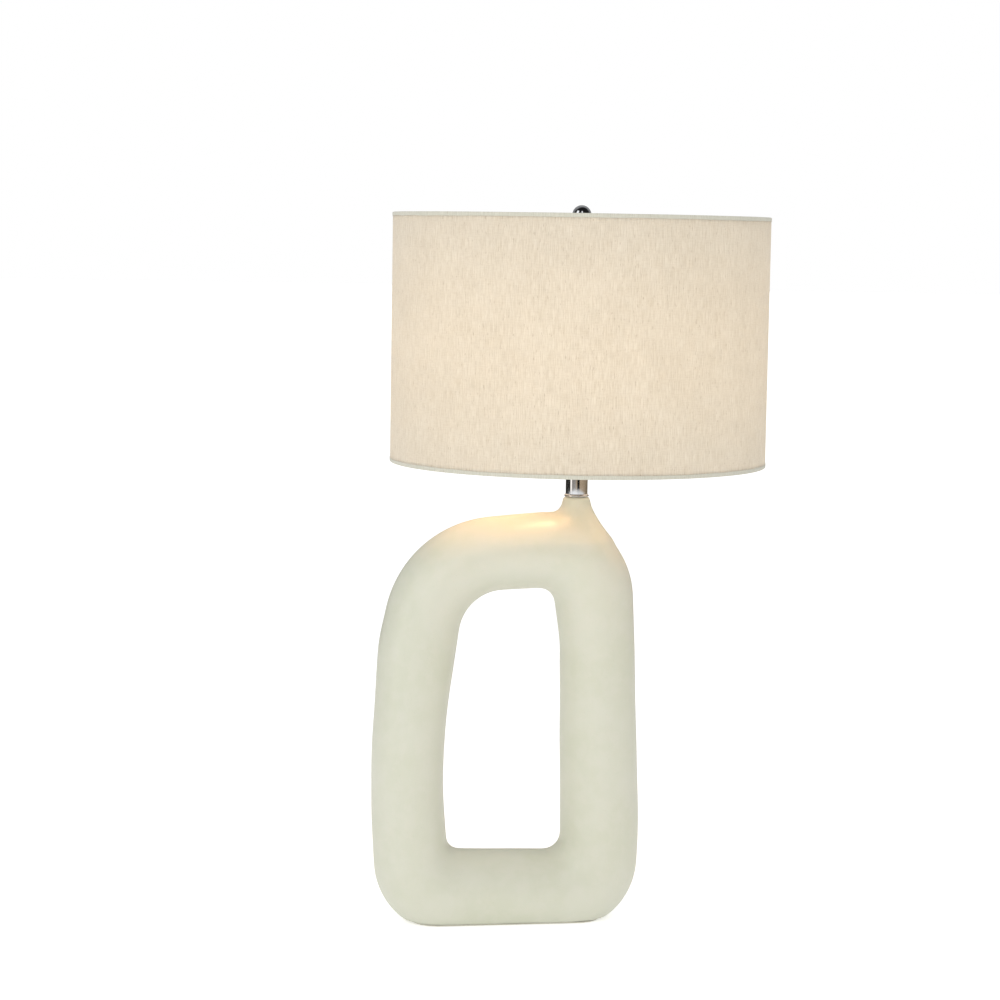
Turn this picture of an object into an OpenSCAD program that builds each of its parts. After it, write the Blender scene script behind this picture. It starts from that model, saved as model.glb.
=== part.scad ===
// Table lamp: hollow ceramic loop base, chrome neck, rotary socket, harp, linen drum shade, ball finial.
// +Z is up and z = 0 is the table. The lamp axis stands at x = axis_x, y = 0, and +Y is the back.

/* [Base] */
// Thickness of the ceramic loop from front to back
base_depth = 92; // [88:1:96]
// Thickness of the ceramic wall
base_wall = 7; // [6:0.5:8]
// Lamp axis, to the right of the middle of the whole lamp
axis_x = 10; // [9:0.5:11]
// Radius of the ceramic neck at its top
neck_r = 16; // [15.5:0.5:17]
// Height of the ceramic neck's top above the table
neck_top = 496.5; // [494:0.5:498]
// Thickness of the felt pad under the foot
pad_thickness = 1.5; // [1:0.5:2]

/* [Neck and pipe] */
// Outer radius of the chrome neck tube
neck_tube_r = 12.7; // [12:0.1:13.5]
// Height of the chrome neck tube with the bead ring at its foot
neck_tube_height = 41.5; // [40:0.5:44]
// Outer radius of the threaded lamp pipe
pipe_r = 4.9; // [4.8:0.1:5]

/* [Socket and bulb] */
// Outer radius of the socket's metal shell
socket_r = 19.3; // [19:0.1:20]
// Radius of the bulb's glass at its widest
bulb_r = 30; // [28:0.5:32]
// Length of the bulb from its contact to the top of its glass
bulb_length = 110; // [106:1:114]

/* [Harp] */
// Radius of the harp's wire
harp_wire_r = 2.3; // [2:0.1:2.4]
// Radius of the round top of the harp
harp_bow_r = 62; // [58:1:66]
// Height of the harp wire's middle at its top
harp_top = 794; // [793:1:795]

/* [Shade] */
// Outer radius of the linen drum
shade_r = 216; // [210:1:222]
// Height of the drum's lower edge above the table
shade_bottom = 535.5; // [530:0.5:540]
// Height of the drum's upper edge above the table
shade_top = 820; // [818:0.5:822]
// Width of the self-fabric trims
trim_width = 5; // [4:0.5:8]
// Number of spider arms
arm_count = 3; // [3:1:4]

/* [Finial] */
// Radius of the finial's ball
finial_r = 11; // [10:0.5:12]

/* [Hidden] */
$fn = 64;
// Small overlap that makes a cut pass cleanly through a face
cut = 1;

// Outer and inner outlines of the loop in the x-z plane, anticlockwise from the lower left.
// Each corner is [x, z, radius], and the two lists pair up corner by corner.
outer_corners = [[-216, -12, 84], [93, -12, 82], [74, 485, 100], [-202, 465, 138], [-231, 220, 1150]];
inner_corners = [[-137, 84, 17], [-3, 81, 18], [-11, 393, 32], [-119, 384, 51], [-150, 197, 640]];
corner_steps = 8;
section_sides = 24;
cavity_sides = 16;

// Thick foot that weights the lamp, with a round recess for the nut and the cord's way in at the back
cavity_floor = 30;
recess_r = 22;
recess_top = 20;
pad_r = 30;
pad_left = -146;
pad_right = 16;
inlet_z = 9.5;
inlet_hole_r = 4.8;
inlet_seat_r = 7.4;
inlet_seat_y = 34;
bushing_bore_r = 3.5;
pipe_bore_r = pipe_r + 0.4;

// Nut, washers and pipe under the base, from the top of the recess down
washer_r = 16;
washer_t = 1.6;
lock_washer_r = 9;
lock_washer_t = 1.4;
nut_r = 9.4;
nut_t = 4.8;
pipe_inner_r = 3.3;
pipe_bottom = recess_top - washer_t - lock_washer_t - nut_t - 3;

// Neck, from the ceramic up
ring_h = 3;
ring_r = 14.2;
tube_wall = 1;
tube_top = neck_top + neck_tube_height;
cap_ring_t = 3.5;
saddle_z = tube_top + cap_ring_t;
saddle_t = 1.5;

// Harp: straight feet, a spread to each side and one round bow over the bulb
harp_foot_x = 27;
prong_top = saddle_z + 19;
harp_straight_top = saddle_z + 44;
harp_spread_r = 30;
bow_z = harp_top - harp_bow_r;
spread_sum = harp_bow_r + harp_spread_r;
spread_run = harp_foot_x + harp_spread_r;
spread_rise = bow_z - harp_straight_top;
harp_tilt = atan2(spread_rise, spread_run) - acos(spread_sum / norm([spread_run, spread_rise]));
harp_boss_r = 5.5;
stud_shank_r = 2.05;
stud_bore_r = 2.12;
sleeve_r = 4.2;
sleeve_bore_r = 2.75;
sleeve_bottom = saddle_z + 9;
sleeve_length = 16;

// Socket, from the saddle up
cap_bottom = saddle_z + saddle_t;
hub_h = 9;
hub_r = 7.5;
pipe_top = cap_bottom + hub_h;
cap_top = cap_bottom + 19;
shell_bottom = cap_top - 3;
shell_top = shell_bottom + 46;
sheet_t = 0.8;
core_bottom = cap_top;
core_top = core_bottom + 17;
core_r = 15.4;
switch_z = core_bottom + 9;
shaft_r = 2.2;
shaft_bore_r = 2.27;
shaft_inner_y = 8;
knob_near = socket_r + 2;
knob_length = 13;
knob_r = 6.5;
screw_shell_r = 14.1;
screw_bore_r = 13.5;

// Bulb, from its contact up
tip_bottom = core_top + 2.6;
tip_r = 4.6;
tip_h = 1.6;
insulator_h = 4;
bulb_base_r = 13.1;
bulb_base_bottom = tip_bottom + tip_h + insulator_h;
bulb_base_h = 20;
glass_bottom = bulb_base_bottom + bulb_base_h;
bulb_top = tip_bottom + bulb_length;
glass_wall = 0.8;
bulb_centre = bulb_top - bulb_r;

// Stud, spider and finial, from the harp's top up
stud_seat = harp_top + 3.6;
stud_flange_t = 2;
stud_r = 3.1;
stud_top = stud_seat + 15.5;
hub_bottom = stud_seat + stud_flange_t;
spider_hub_t = 2.4;
spider_hub_r = 13;
hub_hole_r = 4;
arm_r = 2;
arm_z = hub_bottom + spider_hub_t / 2;
arm_bend_r = 188;
finial_bottom = hub_bottom + spider_hub_t;
finial_centre = shade_top;
finial_bore_r = 3.18;
finial_neck_r = 5;
finial_foot_r = 8.5;
finial_split = finial_centre - sqrt(finial_r * finial_r - finial_neck_r * finial_neck_r);

// Shade, from outside to inside
fabric_t = 0.8;
liner_t = 1;
trim_t = 0.4;
liner_r = shade_r - fabric_t - 0.05;
ring_wire_r = 1.75;
trim_inner_r = liner_r - liner_t - 0.3;
ring_centre_r = trim_inner_r - ring_wire_r - 0.05;
wall_top = shade_top - trim_t;
wall_bottom = shade_bottom + trim_t;
top_ring_z = wall_top - ring_wire_r - 1;
bottom_ring_z = wall_bottom + ring_wire_r + 1;
seam_angle = 2.6;

ceramic = "#d4d5c7";
chrome = "#c9ccd0";
steel = "#9a9da0";
nickel = "#bcb9b2";
brass = "#c9a75e";
black = "#222222";
felt = "#d6d3c4";
linen = "#ece0ce";
white = "#f4f2ec";

// ---- Outline and loft helpers ----

function unit(v) = v / norm(v);

// Points of one rounded corner, anticlockwise
function corner_arc(before, corner, after) =
    let (
        at = [corner[0], corner[1]],
        back = unit([before[0], before[1]] - at),
        ahead = unit([after[0], after[1]] - at),
        half = acos(back * ahead) / 2,
        centre = at + unit(back + ahead) * corner[2] / sin(half),
        start = at + back * corner[2] / tan(half) - centre,
        angle = atan2(start[1], start[0])
    )
    [for (k = [0:corner_steps]) let (a = angle + (180 - 2 * half) * k / corner_steps)
        centre + corner[2] * [cos(a), sin(a)]];

function outline(corners) =
    let (n = len(corners))
    [for (i = [0:n - 1], p = corner_arc(corners[(i + n - 1) % n], corners[i], corners[(i + 1) % n])) p];

// Elliptical ring that spans an outer and an inner outline point, drawn in by inset
function section_ring(outer, inner, inset, sides) =
    let (
        middle = (outer + inner) / 2,
        reach = (outer - inner) / 2 - unit(outer - inner) * inset,
        y_reach = base_depth / 2 - inset
    )
    [for (j = [0:sides - 1]) let (a = 360 * j / sides, p = middle + reach * cos(a))
        [p[0], y_reach * sin(a), p[1]]];

// Closed loop of elliptical sections
module loop_tube(inset, sides) {
    outer = outline(outer_corners);
    inner = outline(inner_corners);
    n = len(outer);
    points = [for (i = [0:n - 1], p = section_ring(outer[i], inner[i], inset, sides)) p];
    faces = [
        for (i = [0:n - 1], j = [0:sides - 1], half = [0, 1])
            let (
                a = i * sides + j,
                b = i * sides + (j + 1) % sides,
                c = ((i + 1) % n) * sides + (j + 1) % sides,
                d = ((i + 1) % n) * sides + j
            )
            half == 0 ? [a, c, b] : [a, d, c]
    ];
    polyhedron(points = points, faces = faces, convexity = 6);
}

module on_axis() {
    translate([axis_x, 0, 0]) children();
}

// Upright tube on the lamp axis
module tube(r_out, r_in, z_low, z_high) {
    on_axis() translate([0, 0, z_low]) difference() {
        cylinder(r = r_out, h = z_high - z_low);
        translate([0, 0, -cut]) cylinder(r = r_in, h = z_high - z_low + 2 * cut);
    }
}

// Cylinder from one point to another
module rod(from, to, r) {
    v = to - from;
    translate(from)
        rotate([0, acos(v[2] / norm(v)), atan2(v[1], v[0])])
            cylinder(r = r, h = norm(v));
}

// ---- Base ----

// Concave flare that carries the round neck down into the loop
module neck_flare() {
    flare_r = 24;
    flare_z = neck_top - 6;
    on_axis() rotate_extrude() polygon(concat(
        [[0, 446], [neck_r + 20, 446], [neck_r + 18, 455]],
        [for (a = [60:-10:0]) [neck_r + flare_r * (1 - cos(a)), flare_z - flare_r * sin(a)]],
        [[neck_r, neck_top], [0, neck_top]]
    ));
}

// Everything up to a height, to cut a level bottom
module below(z) {
    side = 600;
    translate([-side / 2, -side / 2, z - side]) cube(side);
}

module base_cavity() {
    difference() {
        loop_tube(base_wall, cavity_sides);
        below(cavity_floor);
    }
}

module inlet_cylinder(r, y_near) {
    translate([axis_x, y_near, inlet_z]) rotate([-90, 0, 0]) cylinder(r = r, h = base_depth);
}

module base_shell() {
    color(ceramic) difference() {
        union() {
            loop_tube(0, section_sides);
            neck_flare();
        }
        base_cavity();
        below(pad_thickness);
        on_axis() translate([0, 0, -cut]) cylinder(r = recess_r, h = recess_top + cut);
        on_axis() cylinder(r = pipe_bore_r, h = neck_top + cut);
        inlet_cylinder(inlet_hole_r, 0);
        inlet_cylinder(inlet_seat_r, inlet_seat_y);
    }
}

module felt_pad() {
    color(felt) hull() {
        translate([pad_left, 0, 0]) cylinder(r = pad_r, h = pad_thickness);
        translate([pad_right, 0, 0]) cylinder(r = pad_r, h = pad_thickness);
    }
}

module cord_bushing() {
    flange_t = 2;
    sleeve_y = 22.5;
    color(black) translate([axis_x, 0, inlet_z]) rotate([-90, 0, 0]) difference() {
        union() {
            translate([0, 0, sleeve_y]) cylinder(r = inlet_hole_r - 0.1, h = inlet_seat_y - sleeve_y);
            translate([0, 0, inlet_seat_y]) cylinder(r = inlet_seat_r - 0.4, h = flange_t);
        }
        translate([0, 0, sleeve_y - cut]) cylinder(r = bushing_bore_r, h = base_depth);
    }
}

module lamp_pipe() {
    color(steel) tube(pipe_r, pipe_inner_r, pipe_bottom, pipe_top);
}

module bottom_washer() {
    color(steel) tube(washer_r, pipe_r + 0.2, recess_top - washer_t, recess_top);
}

module lock_washer() {
    z = recess_top - washer_t;
    color(steel) tube(lock_washer_r, pipe_r + 0.2, z - lock_washer_t, z);
}

module bottom_nut() {
    z = recess_top - washer_t - lock_washer_t;
    color(steel) on_axis() translate([0, 0, z - nut_t]) difference() {
        cylinder(r = nut_r, h = nut_t, $fn = 6);
        translate([0, 0, -cut]) cylinder(r = pipe_r + 0.05, h = nut_t + 2 * cut);
    }
}

// ---- Neck ----

module neck_ring() {
    color(chrome) on_axis() translate([0, 0, neck_top]) rotate_extrude() difference() {
        union() {
            square([ring_r - ring_h / 2, ring_h]);
            translate([ring_r - ring_h / 2, ring_h / 2]) circle(r = ring_h / 2);
        }
        translate([-cut, -cut]) square([pipe_r + 0.2 + cut, ring_h + 2 * cut]);
    }
}

module neck_tube() {
    color(chrome) tube(neck_tube_r, neck_tube_r - tube_wall, neck_top + ring_h, tube_top);
}

module neck_cap() {
    color(chrome) tube(neck_tube_r + 1, pipe_r + 0.2, tube_top, saddle_z);
}

// ---- Harp ----

module harp_saddle() {
    strip_w = 12;
    prong_w = 4.6;
    color(nickel) difference() {
        union() {
            translate([axis_x - harp_foot_x, -strip_w / 2, saddle_z]) cube([2 * harp_foot_x, strip_w, saddle_t]);
            for (side = [-1, 1])
                translate([axis_x + side * harp_foot_x - saddle_t / 2, -prong_w / 2, saddle_z])
                    cube([saddle_t, prong_w, prong_top - saddle_z]);
        }
        on_axis() translate([0, 0, saddle_z - cut]) cylinder(r = pipe_r + 0.2, h = saddle_t + 2 * cut);
    }
}

// Piece of a ring of wire in the x-z plane, centred on its own origin
module wire_arc(radius, first, sweep) {
    rotate([90, 0, 0]) rotate([0, 0, first]) rotate_extrude(angle = sweep)
        translate([radius, 0]) circle(r = harp_wire_r);
}

// Straight lengths are a hair thinner than the arcs and run a little way into them
module straight(from, to) {
    way = unit(to - from) * 0.5;
    rod(from - way, to + way, harp_wire_r - 0.03);
}

module harp_side() {
    spread_end = [
        harp_foot_x + harp_spread_r * (1 - cos(harp_tilt)), 0,
        harp_straight_top + harp_spread_r * sin(harp_tilt)
    ];
    bow_start = [harp_bow_r * cos(harp_tilt), 0, bow_z - harp_bow_r * sin(harp_tilt)];
    straight([harp_foot_x, 0, prong_top + 0.5], [harp_foot_x, 0, harp_straight_top]);
    translate([harp_foot_x + harp_spread_r, 0, harp_straight_top])
        wire_arc(harp_spread_r, 180 - harp_tilt, harp_tilt);
    straight(spread_end, bow_start);
}

module harp() {
    boss_h = 7.4;
    color(nickel) on_axis() difference() {
        union() {
            harp_side();
            mirror([1, 0, 0]) harp_side();
            translate([0, 0, bow_z]) wire_arc(harp_bow_r, -harp_tilt, 180 + 2 * harp_tilt);
            translate([0, 0, stud_seat - 0.3 - boss_h]) cylinder(r = harp_boss_r, h = boss_h);
        }
        translate([0, 0, harp_top - 10]) cylinder(r = stud_bore_r, h = 20);
    }
}

module harp_sleeve(side) {
    translate([axis_x + side * harp_foot_x, 0, sleeve_bottom]) difference() {
        cylinder(r = sleeve_r, h = sleeve_length);
        translate([0, 0, -cut]) cylinder(r = sleeve_bore_r, h = sleeve_length + 2 * cut);
    }
}

module harp_sleeve_left() {
    color(nickel) harp_sleeve(-1);
}

module harp_sleeve_right() {
    color(nickel) harp_sleeve(1);
}

// ---- Socket ----

// Dished cap with a hub that screws on the pipe
module socket_cap() {
    rim_r = socket_r + sheet_t + 0.2;
    color(nickel) on_axis() difference() {
        rotate_extrude() polygon([
            [0, cap_bottom], [hub_r + 3, cap_bottom], [rim_r - 2, cap_bottom + 8], [rim_r, cap_bottom + 12],
            [rim_r, cap_top], [rim_r - sheet_t, cap_top], [rim_r - sheet_t, cap_bottom + 12],
            [rim_r - 2 - sheet_t, cap_bottom + 9], [hub_r + 3, cap_bottom + 2], [hub_r, cap_bottom + 2],
            [hub_r, pipe_top], [0, pipe_top]
        ]);
        translate([0, 0, cap_bottom - cut]) cylinder(r = pipe_r + 0.05, h = hub_h + 2 * cut);
        rod([0, 0, cap_bottom + 5], [hub_r + 12, 0, cap_bottom + 5], 1.6);
    }
}

module set_screw() {
    color(steel) on_axis() rod([pipe_r + 0.1, 0, cap_bottom + 5], [hub_r + 5, 0, cap_bottom + 5], 1.5);
}

// Hole for the switch's shaft, towards the front
module shaft_hole(r) {
    translate([axis_x, 0, switch_z]) rotate([90, 0, 0]) cylinder(r = r, h = socket_r + 10);
}

module socket_shell() {
    color(nickel) difference() {
        tube(socket_r, socket_r - sheet_t, shell_bottom, shell_top);
        shaft_hole(shaft_r + 1.2);
    }
}

module socket_liner() {
    color("#d8c9a6") difference() {
        tube(socket_r - sheet_t - 0.1, socket_r - sheet_t - 1.1, shell_bottom + 1, shell_top - 1);
        shaft_hole(shaft_r + 1.2);
    }
}

module socket_core() {
    post_r = 1.7;
    color(black) difference() {
        union() {
            on_axis() translate([0, 0, core_bottom]) cylinder(r = core_r, h = core_top - core_bottom);
            on_axis() translate([0, 0, core_bottom - 7]) cylinder(r = 10, h = 7);
        }
        on_axis() translate([0, 0, core_bottom - 8]) cylinder(r = pipe_inner_r, h = 10);
        shaft_hole(shaft_bore_r);
        for (side = [-1, 1])
            translate([axis_x + side * (core_r - 5), 0, switch_z]) rotate([0, side * 90, 0])
                cylinder(r = post_r, h = 10);
    }
}

module terminal_screws() {
    head_r = 3;
    color(brass) for (side = [-1, 1])
        translate([axis_x + side * (core_r - 5), 0, switch_z]) rotate([0, side * 90, 0]) {
            cylinder(r = 1.6, h = 5.2);
            translate([0, 0, 5.1]) cylinder(r = head_r, h = 1.6);
        }
}

module screw_shell() {
    color(brass) tube(screw_shell_r, screw_bore_r, core_top, shell_top - 2);
}

module center_contact() {
    color(brass) on_axis() translate([0, 0, core_top]) cylinder(r = 3, h = tip_bottom - core_top - 0.3);
}

module switch_shaft() {
    color(steel) on_axis() rod([0, -shaft_inner_y, switch_z], [0, -knob_near - 4, switch_z], shaft_r);
}

module turn_knob() {
    rib_count = 20;
    color(black) on_axis() translate([0, -knob_near, switch_z]) rotate([90, 0, 0]) difference() {
        union() {
            cylinder(r = knob_r, h = knob_length);
            for (i = [0:rib_count - 1])
                rotate([0, 0, 360 * i / rib_count]) translate([knob_r, 0, 1])
                    cylinder(r = 0.5, h = knob_length - 2, $fn = 16);
        }
        translate([0, 0, -cut]) cylinder(r = shaft_r + 0.02, h = 5 + cut);
    }
}

// ---- Bulb ----

module bulb_tip() {
    color(brass) on_axis() translate([0, 0, tip_bottom]) cylinder(r = tip_r, h = tip_h);
}

module bulb_insulator() {
    color(black) on_axis() translate([0, 0, tip_bottom + tip_h])
        cylinder(r1 = tip_r + 1.4, r2 = bulb_base_r - 1.6, h = insulator_h);
}

module bulb_screw_base() {
    color(nickel) tube(bulb_base_r, bulb_base_r - sheet_t, bulb_base_bottom, glass_bottom);
}

// Outline of the glass from its foot to its top, drawn in by inset
function glass_outline(inset) =
    let (
        foot_r = bulb_base_r - 0.2,
        waist_z = glass_bottom + 8,
        join_angle = -38,
        join = [bulb_r * cos(join_angle), bulb_centre + bulb_r * sin(join_angle)],
        waist = [foot_r + 1, waist_z]
    )
    concat(
        [[foot_r - inset, glass_bottom]],
        [[waist[0] - inset, waist_z]],
        [for (t = [0.25, 0.5, 0.75])
            let (s = t * t * (3 - 2 * t))
            [waist[0] + (join[0] - waist[0]) * (s + t) / 2 - inset, waist_z + (join[1] - waist_z) * t]],
        [for (a = [join_angle:8:90]) [(bulb_r - inset) * cos(a), bulb_centre + (bulb_r - inset) * sin(a)]]
    );

module bulb_glass() {
    inner = glass_outline(glass_wall);
    color(white) on_axis() rotate_extrude() difference() {
        polygon(concat([[0, glass_bottom]], glass_outline(0), [[0, bulb_top]]));
        polygon(concat([[0, glass_bottom - cut]], [[inner[0][0], glass_bottom - cut]], inner,
            [[0, bulb_top - glass_wall]]));
    }
}

module bulb_stem() {
    strip_count = 4;
    strip_r = 1;
    circle_r = 7;
    stem_top = glass_bottom + 30;
    color(white) on_axis() {
        translate([0, 0, bulb_base_bottom + 2]) cylinder(r = 10, h = glass_bottom - bulb_base_bottom);
        translate([0, 0, glass_bottom]) cylinder(r = 3, h = 30);
        translate([0, 0, stem_top]) cylinder(r = circle_r + 1, h = 1.5);
        for (i = [0:strip_count - 1])
            rotate([0, 0, 360 * (i + 0.5) / strip_count]) translate([circle_r, 0, stem_top + 1.2])
                cylinder(r = strip_r, h = 32);
    }
}

// ---- Shade ----

module swivel_stud() {
    color(nickel) on_axis() {
        translate([0, 0, stud_seat - 6]) cylinder(r = stud_shank_r, h = 6.5);
        translate([0, 0, stud_seat]) cylinder(r = 9, h = stud_flange_t);
        translate([0, 0, stud_seat + 1]) cylinder(r = stud_r, h = stud_top - stud_seat - 1);
    }
}

module spider_hub() {
    color(nickel) tube(spider_hub_r, hub_hole_r, hub_bottom, finial_bottom);
}

// Arms that end against the hub's rim and the top ring's wire
module spider_arms() {
    color(nickel) difference() {
        on_axis() for (i = [0:arm_count - 1])
            rotate([0, 0, 90 + 360 * i / arm_count]) {
                rod([spider_hub_r - 1, 0, arm_z], [arm_bend_r, 0, arm_z], arm_r);
                translate([arm_bend_r, 0, arm_z]) sphere(r = arm_r);
                rod([arm_bend_r, 0, arm_z], [ring_centre_r, 0, top_ring_z], arm_r);
            }
        on_axis() translate([0, 0, hub_bottom - arm_r]) cylinder(r = spider_hub_r, h = 4 * arm_r);
        wire_ring(top_ring_z);
    }
}

module wire_ring(z) {
    on_axis() translate([0, 0, z]) rotate_extrude($fn = 180)
        translate([ring_centre_r, 0]) circle(r = ring_wire_r, $fn = 24);
}

module top_ring() {
    color(nickel) wire_ring(top_ring_z);
}

module bottom_ring() {
    color(nickel) wire_ring(bottom_ring_z);
}

module shade_liner() {
    color(white) tube(liner_r, liner_r - liner_t, wall_bottom, wall_top, $fn = 180);
}

module shade_fabric() {
    color(linen) tube(shade_r, shade_r - fabric_t, wall_bottom, wall_top, $fn = 180);
}

module shade_seam() {
    color(linen) on_axis() translate([0, 0, wall_bottom + trim_width])
        rotate([0, 0, 90 - seam_angle / 2]) rotate_extrude(angle = seam_angle, $fn = 180)
            translate([shade_r, 0]) square([trim_t, wall_top - wall_bottom - 2 * trim_width]);
}

// Tape folded over an edge, seen in section with the edge at z = 0 and the drum below it
module trim_section() {
    wall_t = shade_r - liner_r + liner_t;
    difference() {
        translate([trim_inner_r, -trim_width]) square([shade_r + trim_t - trim_inner_r, trim_width + trim_t]);
        translate([shade_r - wall_t, -trim_width - cut]) square([wall_t, trim_width + cut]);
    }
}

module top_trim() {
    color(linen) on_axis() translate([0, 0, wall_top]) rotate_extrude($fn = 180) trim_section();
}

module bottom_trim() {
    color(linen) on_axis() translate([0, 0, wall_bottom]) rotate_extrude($fn = 180)
        mirror([0, 1]) trim_section();
}

// ---- Finial ----

module finial_base() {
    fillet_r = finial_foot_r - finial_neck_r;
    color(chrome) on_axis() difference() {
        translate([0, 0, finial_bottom]) rotate_extrude() polygon(concat(
            [[0, 0], [finial_foot_r, 0], [finial_foot_r, 1.5]],
            [for (a = [0:15:90])
                [finial_foot_r - fillet_r * sin(a), 1.5 + fillet_r * (1 - cos(a))]],
            [[finial_neck_r, finial_split - finial_bottom - 0.02], [0, finial_split - finial_bottom - 0.02]]
        ));
        translate([0, 0, finial_bottom - cut]) cylinder(r = finial_bore_r, h = 20);
    }
}

module finial_ball() {
    color(chrome) on_axis() difference() {
        translate([0, 0, finial_centre]) sphere(r = finial_r);
        translate([0, 0, finial_centre - 2 * finial_r]) cylinder(r = 2 * finial_r, h = finial_split
            - finial_centre + 2 * finial_r);
        translate([0, 0, finial_bottom]) cylinder(r = finial_bore_r, h = stud_top + 0.8 - finial_bottom);
    }
}

base_shell();
felt_pad();
cord_bushing();
lamp_pipe();
bottom_nut();
lock_washer();
bottom_washer();
neck_ring();
neck_tube();
neck_cap();
harp_saddle();
harp();
harp_sleeve_left();
harp_sleeve_right();
socket_cap();
set_screw();
socket_shell();
socket_liner();
socket_core();
screw_shell();
center_contact();
terminal_screws();
switch_shaft();
turn_knob();
bulb_tip();
bulb_insulator();
bulb_screw_base();
bulb_glass();
bulb_stem();
swivel_stud();
spider_hub();
spider_arms();
top_ring();
bottom_ring();
shade_liner();
shade_fabric();
shade_seam();
top_trim();
bottom_trim();
finial_base();
finial_ball();
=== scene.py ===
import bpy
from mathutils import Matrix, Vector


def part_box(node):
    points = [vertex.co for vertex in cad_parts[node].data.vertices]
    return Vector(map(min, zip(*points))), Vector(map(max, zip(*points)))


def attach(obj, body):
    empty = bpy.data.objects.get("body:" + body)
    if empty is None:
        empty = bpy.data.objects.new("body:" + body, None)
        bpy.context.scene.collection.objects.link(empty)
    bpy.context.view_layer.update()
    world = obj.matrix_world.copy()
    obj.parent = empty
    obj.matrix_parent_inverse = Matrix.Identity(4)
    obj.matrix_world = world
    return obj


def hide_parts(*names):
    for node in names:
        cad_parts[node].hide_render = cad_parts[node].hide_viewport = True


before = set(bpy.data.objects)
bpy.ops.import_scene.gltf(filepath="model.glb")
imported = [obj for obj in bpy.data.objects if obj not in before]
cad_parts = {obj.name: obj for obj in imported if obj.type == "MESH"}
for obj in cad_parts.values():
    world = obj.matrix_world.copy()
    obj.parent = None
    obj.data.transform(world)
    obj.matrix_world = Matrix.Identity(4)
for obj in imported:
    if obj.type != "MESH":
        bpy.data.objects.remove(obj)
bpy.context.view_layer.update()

import math
import bmesh
import bpy
import numpy as np
from mathutils import Matrix, Vector

# Lengths are in millimetres, as in the CAD model, until they become a Blender object.
# Only the studio, the camera and the numbers inside materials are in metres.
MM = 0.001


# ---------------------------------------------------------------- places from the frame

def low(node):
    return [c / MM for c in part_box(node)[0]]


def high(node):
    return [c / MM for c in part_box(node)[1]]


def middle(node):
    return [(a + b) / 2 for a, b in zip(low(node), high(node))]


def span(node):
    """A node's lowest and highest z."""
    return low(node)[2], high(node)[2]


def half_width(node):
    return (high(node)[0] - low(node)[0]) / 2


AXIS_X = middle("neck_tube")[0]
NECK_TOP = low("neck_ring")[2]
PAD_TOP = high("felt_pad")[2]
SHADE_R = half_width("shade_fabric")
SHADE_TOP = high("top_trim")[2]
BULB_R = half_width("bulb_glass")
BULB_CENTRE_Z = high("bulb_glass")[2] - BULB_R
INCH = 25.4
BULB_PITCH = INCH / 7
FINIAL_PITCH = INCH / 27


# ---------------------------------------------------------------- mesh helpers

def mesh_object(name, shape, unit):
    """A new object in the scene from points and faces."""
    points, faces = shape
    mesh = bpy.data.meshes.new(name)
    mesh.from_pydata((np.array(points, float) * unit).tolist(), [], [tuple(map(int, f)) for f in faces])
    obj = bpy.data.objects.new(name, mesh)
    bpy.context.scene.collection.objects.link(obj)
    return obj


def face_outwards(obj):
    work = bmesh.new()
    work.from_mesh(obj.data)
    bmesh.ops.recalc_face_normals(work, faces=work.faces)
    work.to_mesh(obj.data)
    work.free()


def piece(name, shape, body, nodes, slot, smooth=True, solid=True, sharp=None):
    """An object that rides on a body and stands for the nodes named. Edges over sharp degrees stay crisp."""
    obj = mesh_object(name, shape, MM)
    mesh = obj.data
    mesh.validate()
    mesh.update()
    if smooth:
        mesh.shade_smooth()
    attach(obj, body)
    for node in nodes.split():
        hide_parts(node)
    mesh.materials.append(looks[slot])
    if solid:
        face_outwards(obj)
    if sharp:
        mesh.set_sharp_from_angle(angle=math.radians(sharp))
    return obj


def join(*shapes):
    """One shape from several."""
    points, faces = [], []
    for some_points, some_faces in shapes:
        start = len(points)
        points.extend(tuple(p) for p in some_points)
        faces.extend(tuple(i + start for i in face) for face in some_faces)
    return points, faces


def skin(rings, wrap=False, capped=False):
    """Points and faces over rings of points. A ring of one point is a tip; wrap joins last to first."""
    points, numbers, faces = [], [], []
    for ring in rings:
        numbers.append(range(len(points), len(points) + len(ring)))
        points.extend(ring)
    for a, b in zip(numbers, numbers[1:] + (numbers[:1] if wrap else [])):
        count = max(len(a), len(b))
        for k in range(count):
            n = (k + 1) % count
            if len(a) == 1:
                faces.append((a[0], b[n], b[k]))
            elif len(b) == 1:
                faces.append((a[k], a[n], b[0]))
            else:
                faces.append((a[k], a[n], b[n], b[k]))
    if capped:
        faces += [tuple(numbers[0])[::-1], tuple(numbers[-1])]
    return points, faces


def angles(count):
    """Equal steps round a circle."""
    return [2 * math.pi * k / count for k in range(count)]


def ease(t):
    """A smooth step from 0 to 1."""
    t = np.clip(t, 0, 1)
    return t * t * (3 - 2 * t)


def rounded(corners, steps=6, closed=True):
    """Outline points of a polygon [(x, y, radius)], with an arc at each corner that has a radius."""
    out = []
    for i, (x, y, radius) in enumerate(corners):
        at = np.array([x, y], float)
        end = not closed and i in (0, len(corners) - 1)
        if radius <= 0 or end:
            out.append(at)
            continue
        back = np.array(corners[i - 1][:2], float) - at
        ahead = np.array(corners[(i + 1) % len(corners)][:2], float) - at
        back /= np.linalg.norm(back)
        ahead /= np.linalg.norm(ahead)
        half = math.acos(np.clip(back @ ahead, -1, 1)) / 2
        toward = back + ahead
        centre = at + toward / np.linalg.norm(toward) * radius / math.sin(half)
        first = at + back * radius / math.tan(half) - centre
        last = at + ahead * radius / math.tan(half) - centre
        angle = math.atan2(first[1], first[0])
        turn = math.atan2(last[1], last[0]) - angle
        turn = (turn + math.pi) % (2 * math.pi) - math.pi
        for k in range(steps + 1):
            a = angle + turn * k / steps
            out.append(centre + radius * np.array([math.cos(a), math.sin(a)]))
    return np.array(out)


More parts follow.
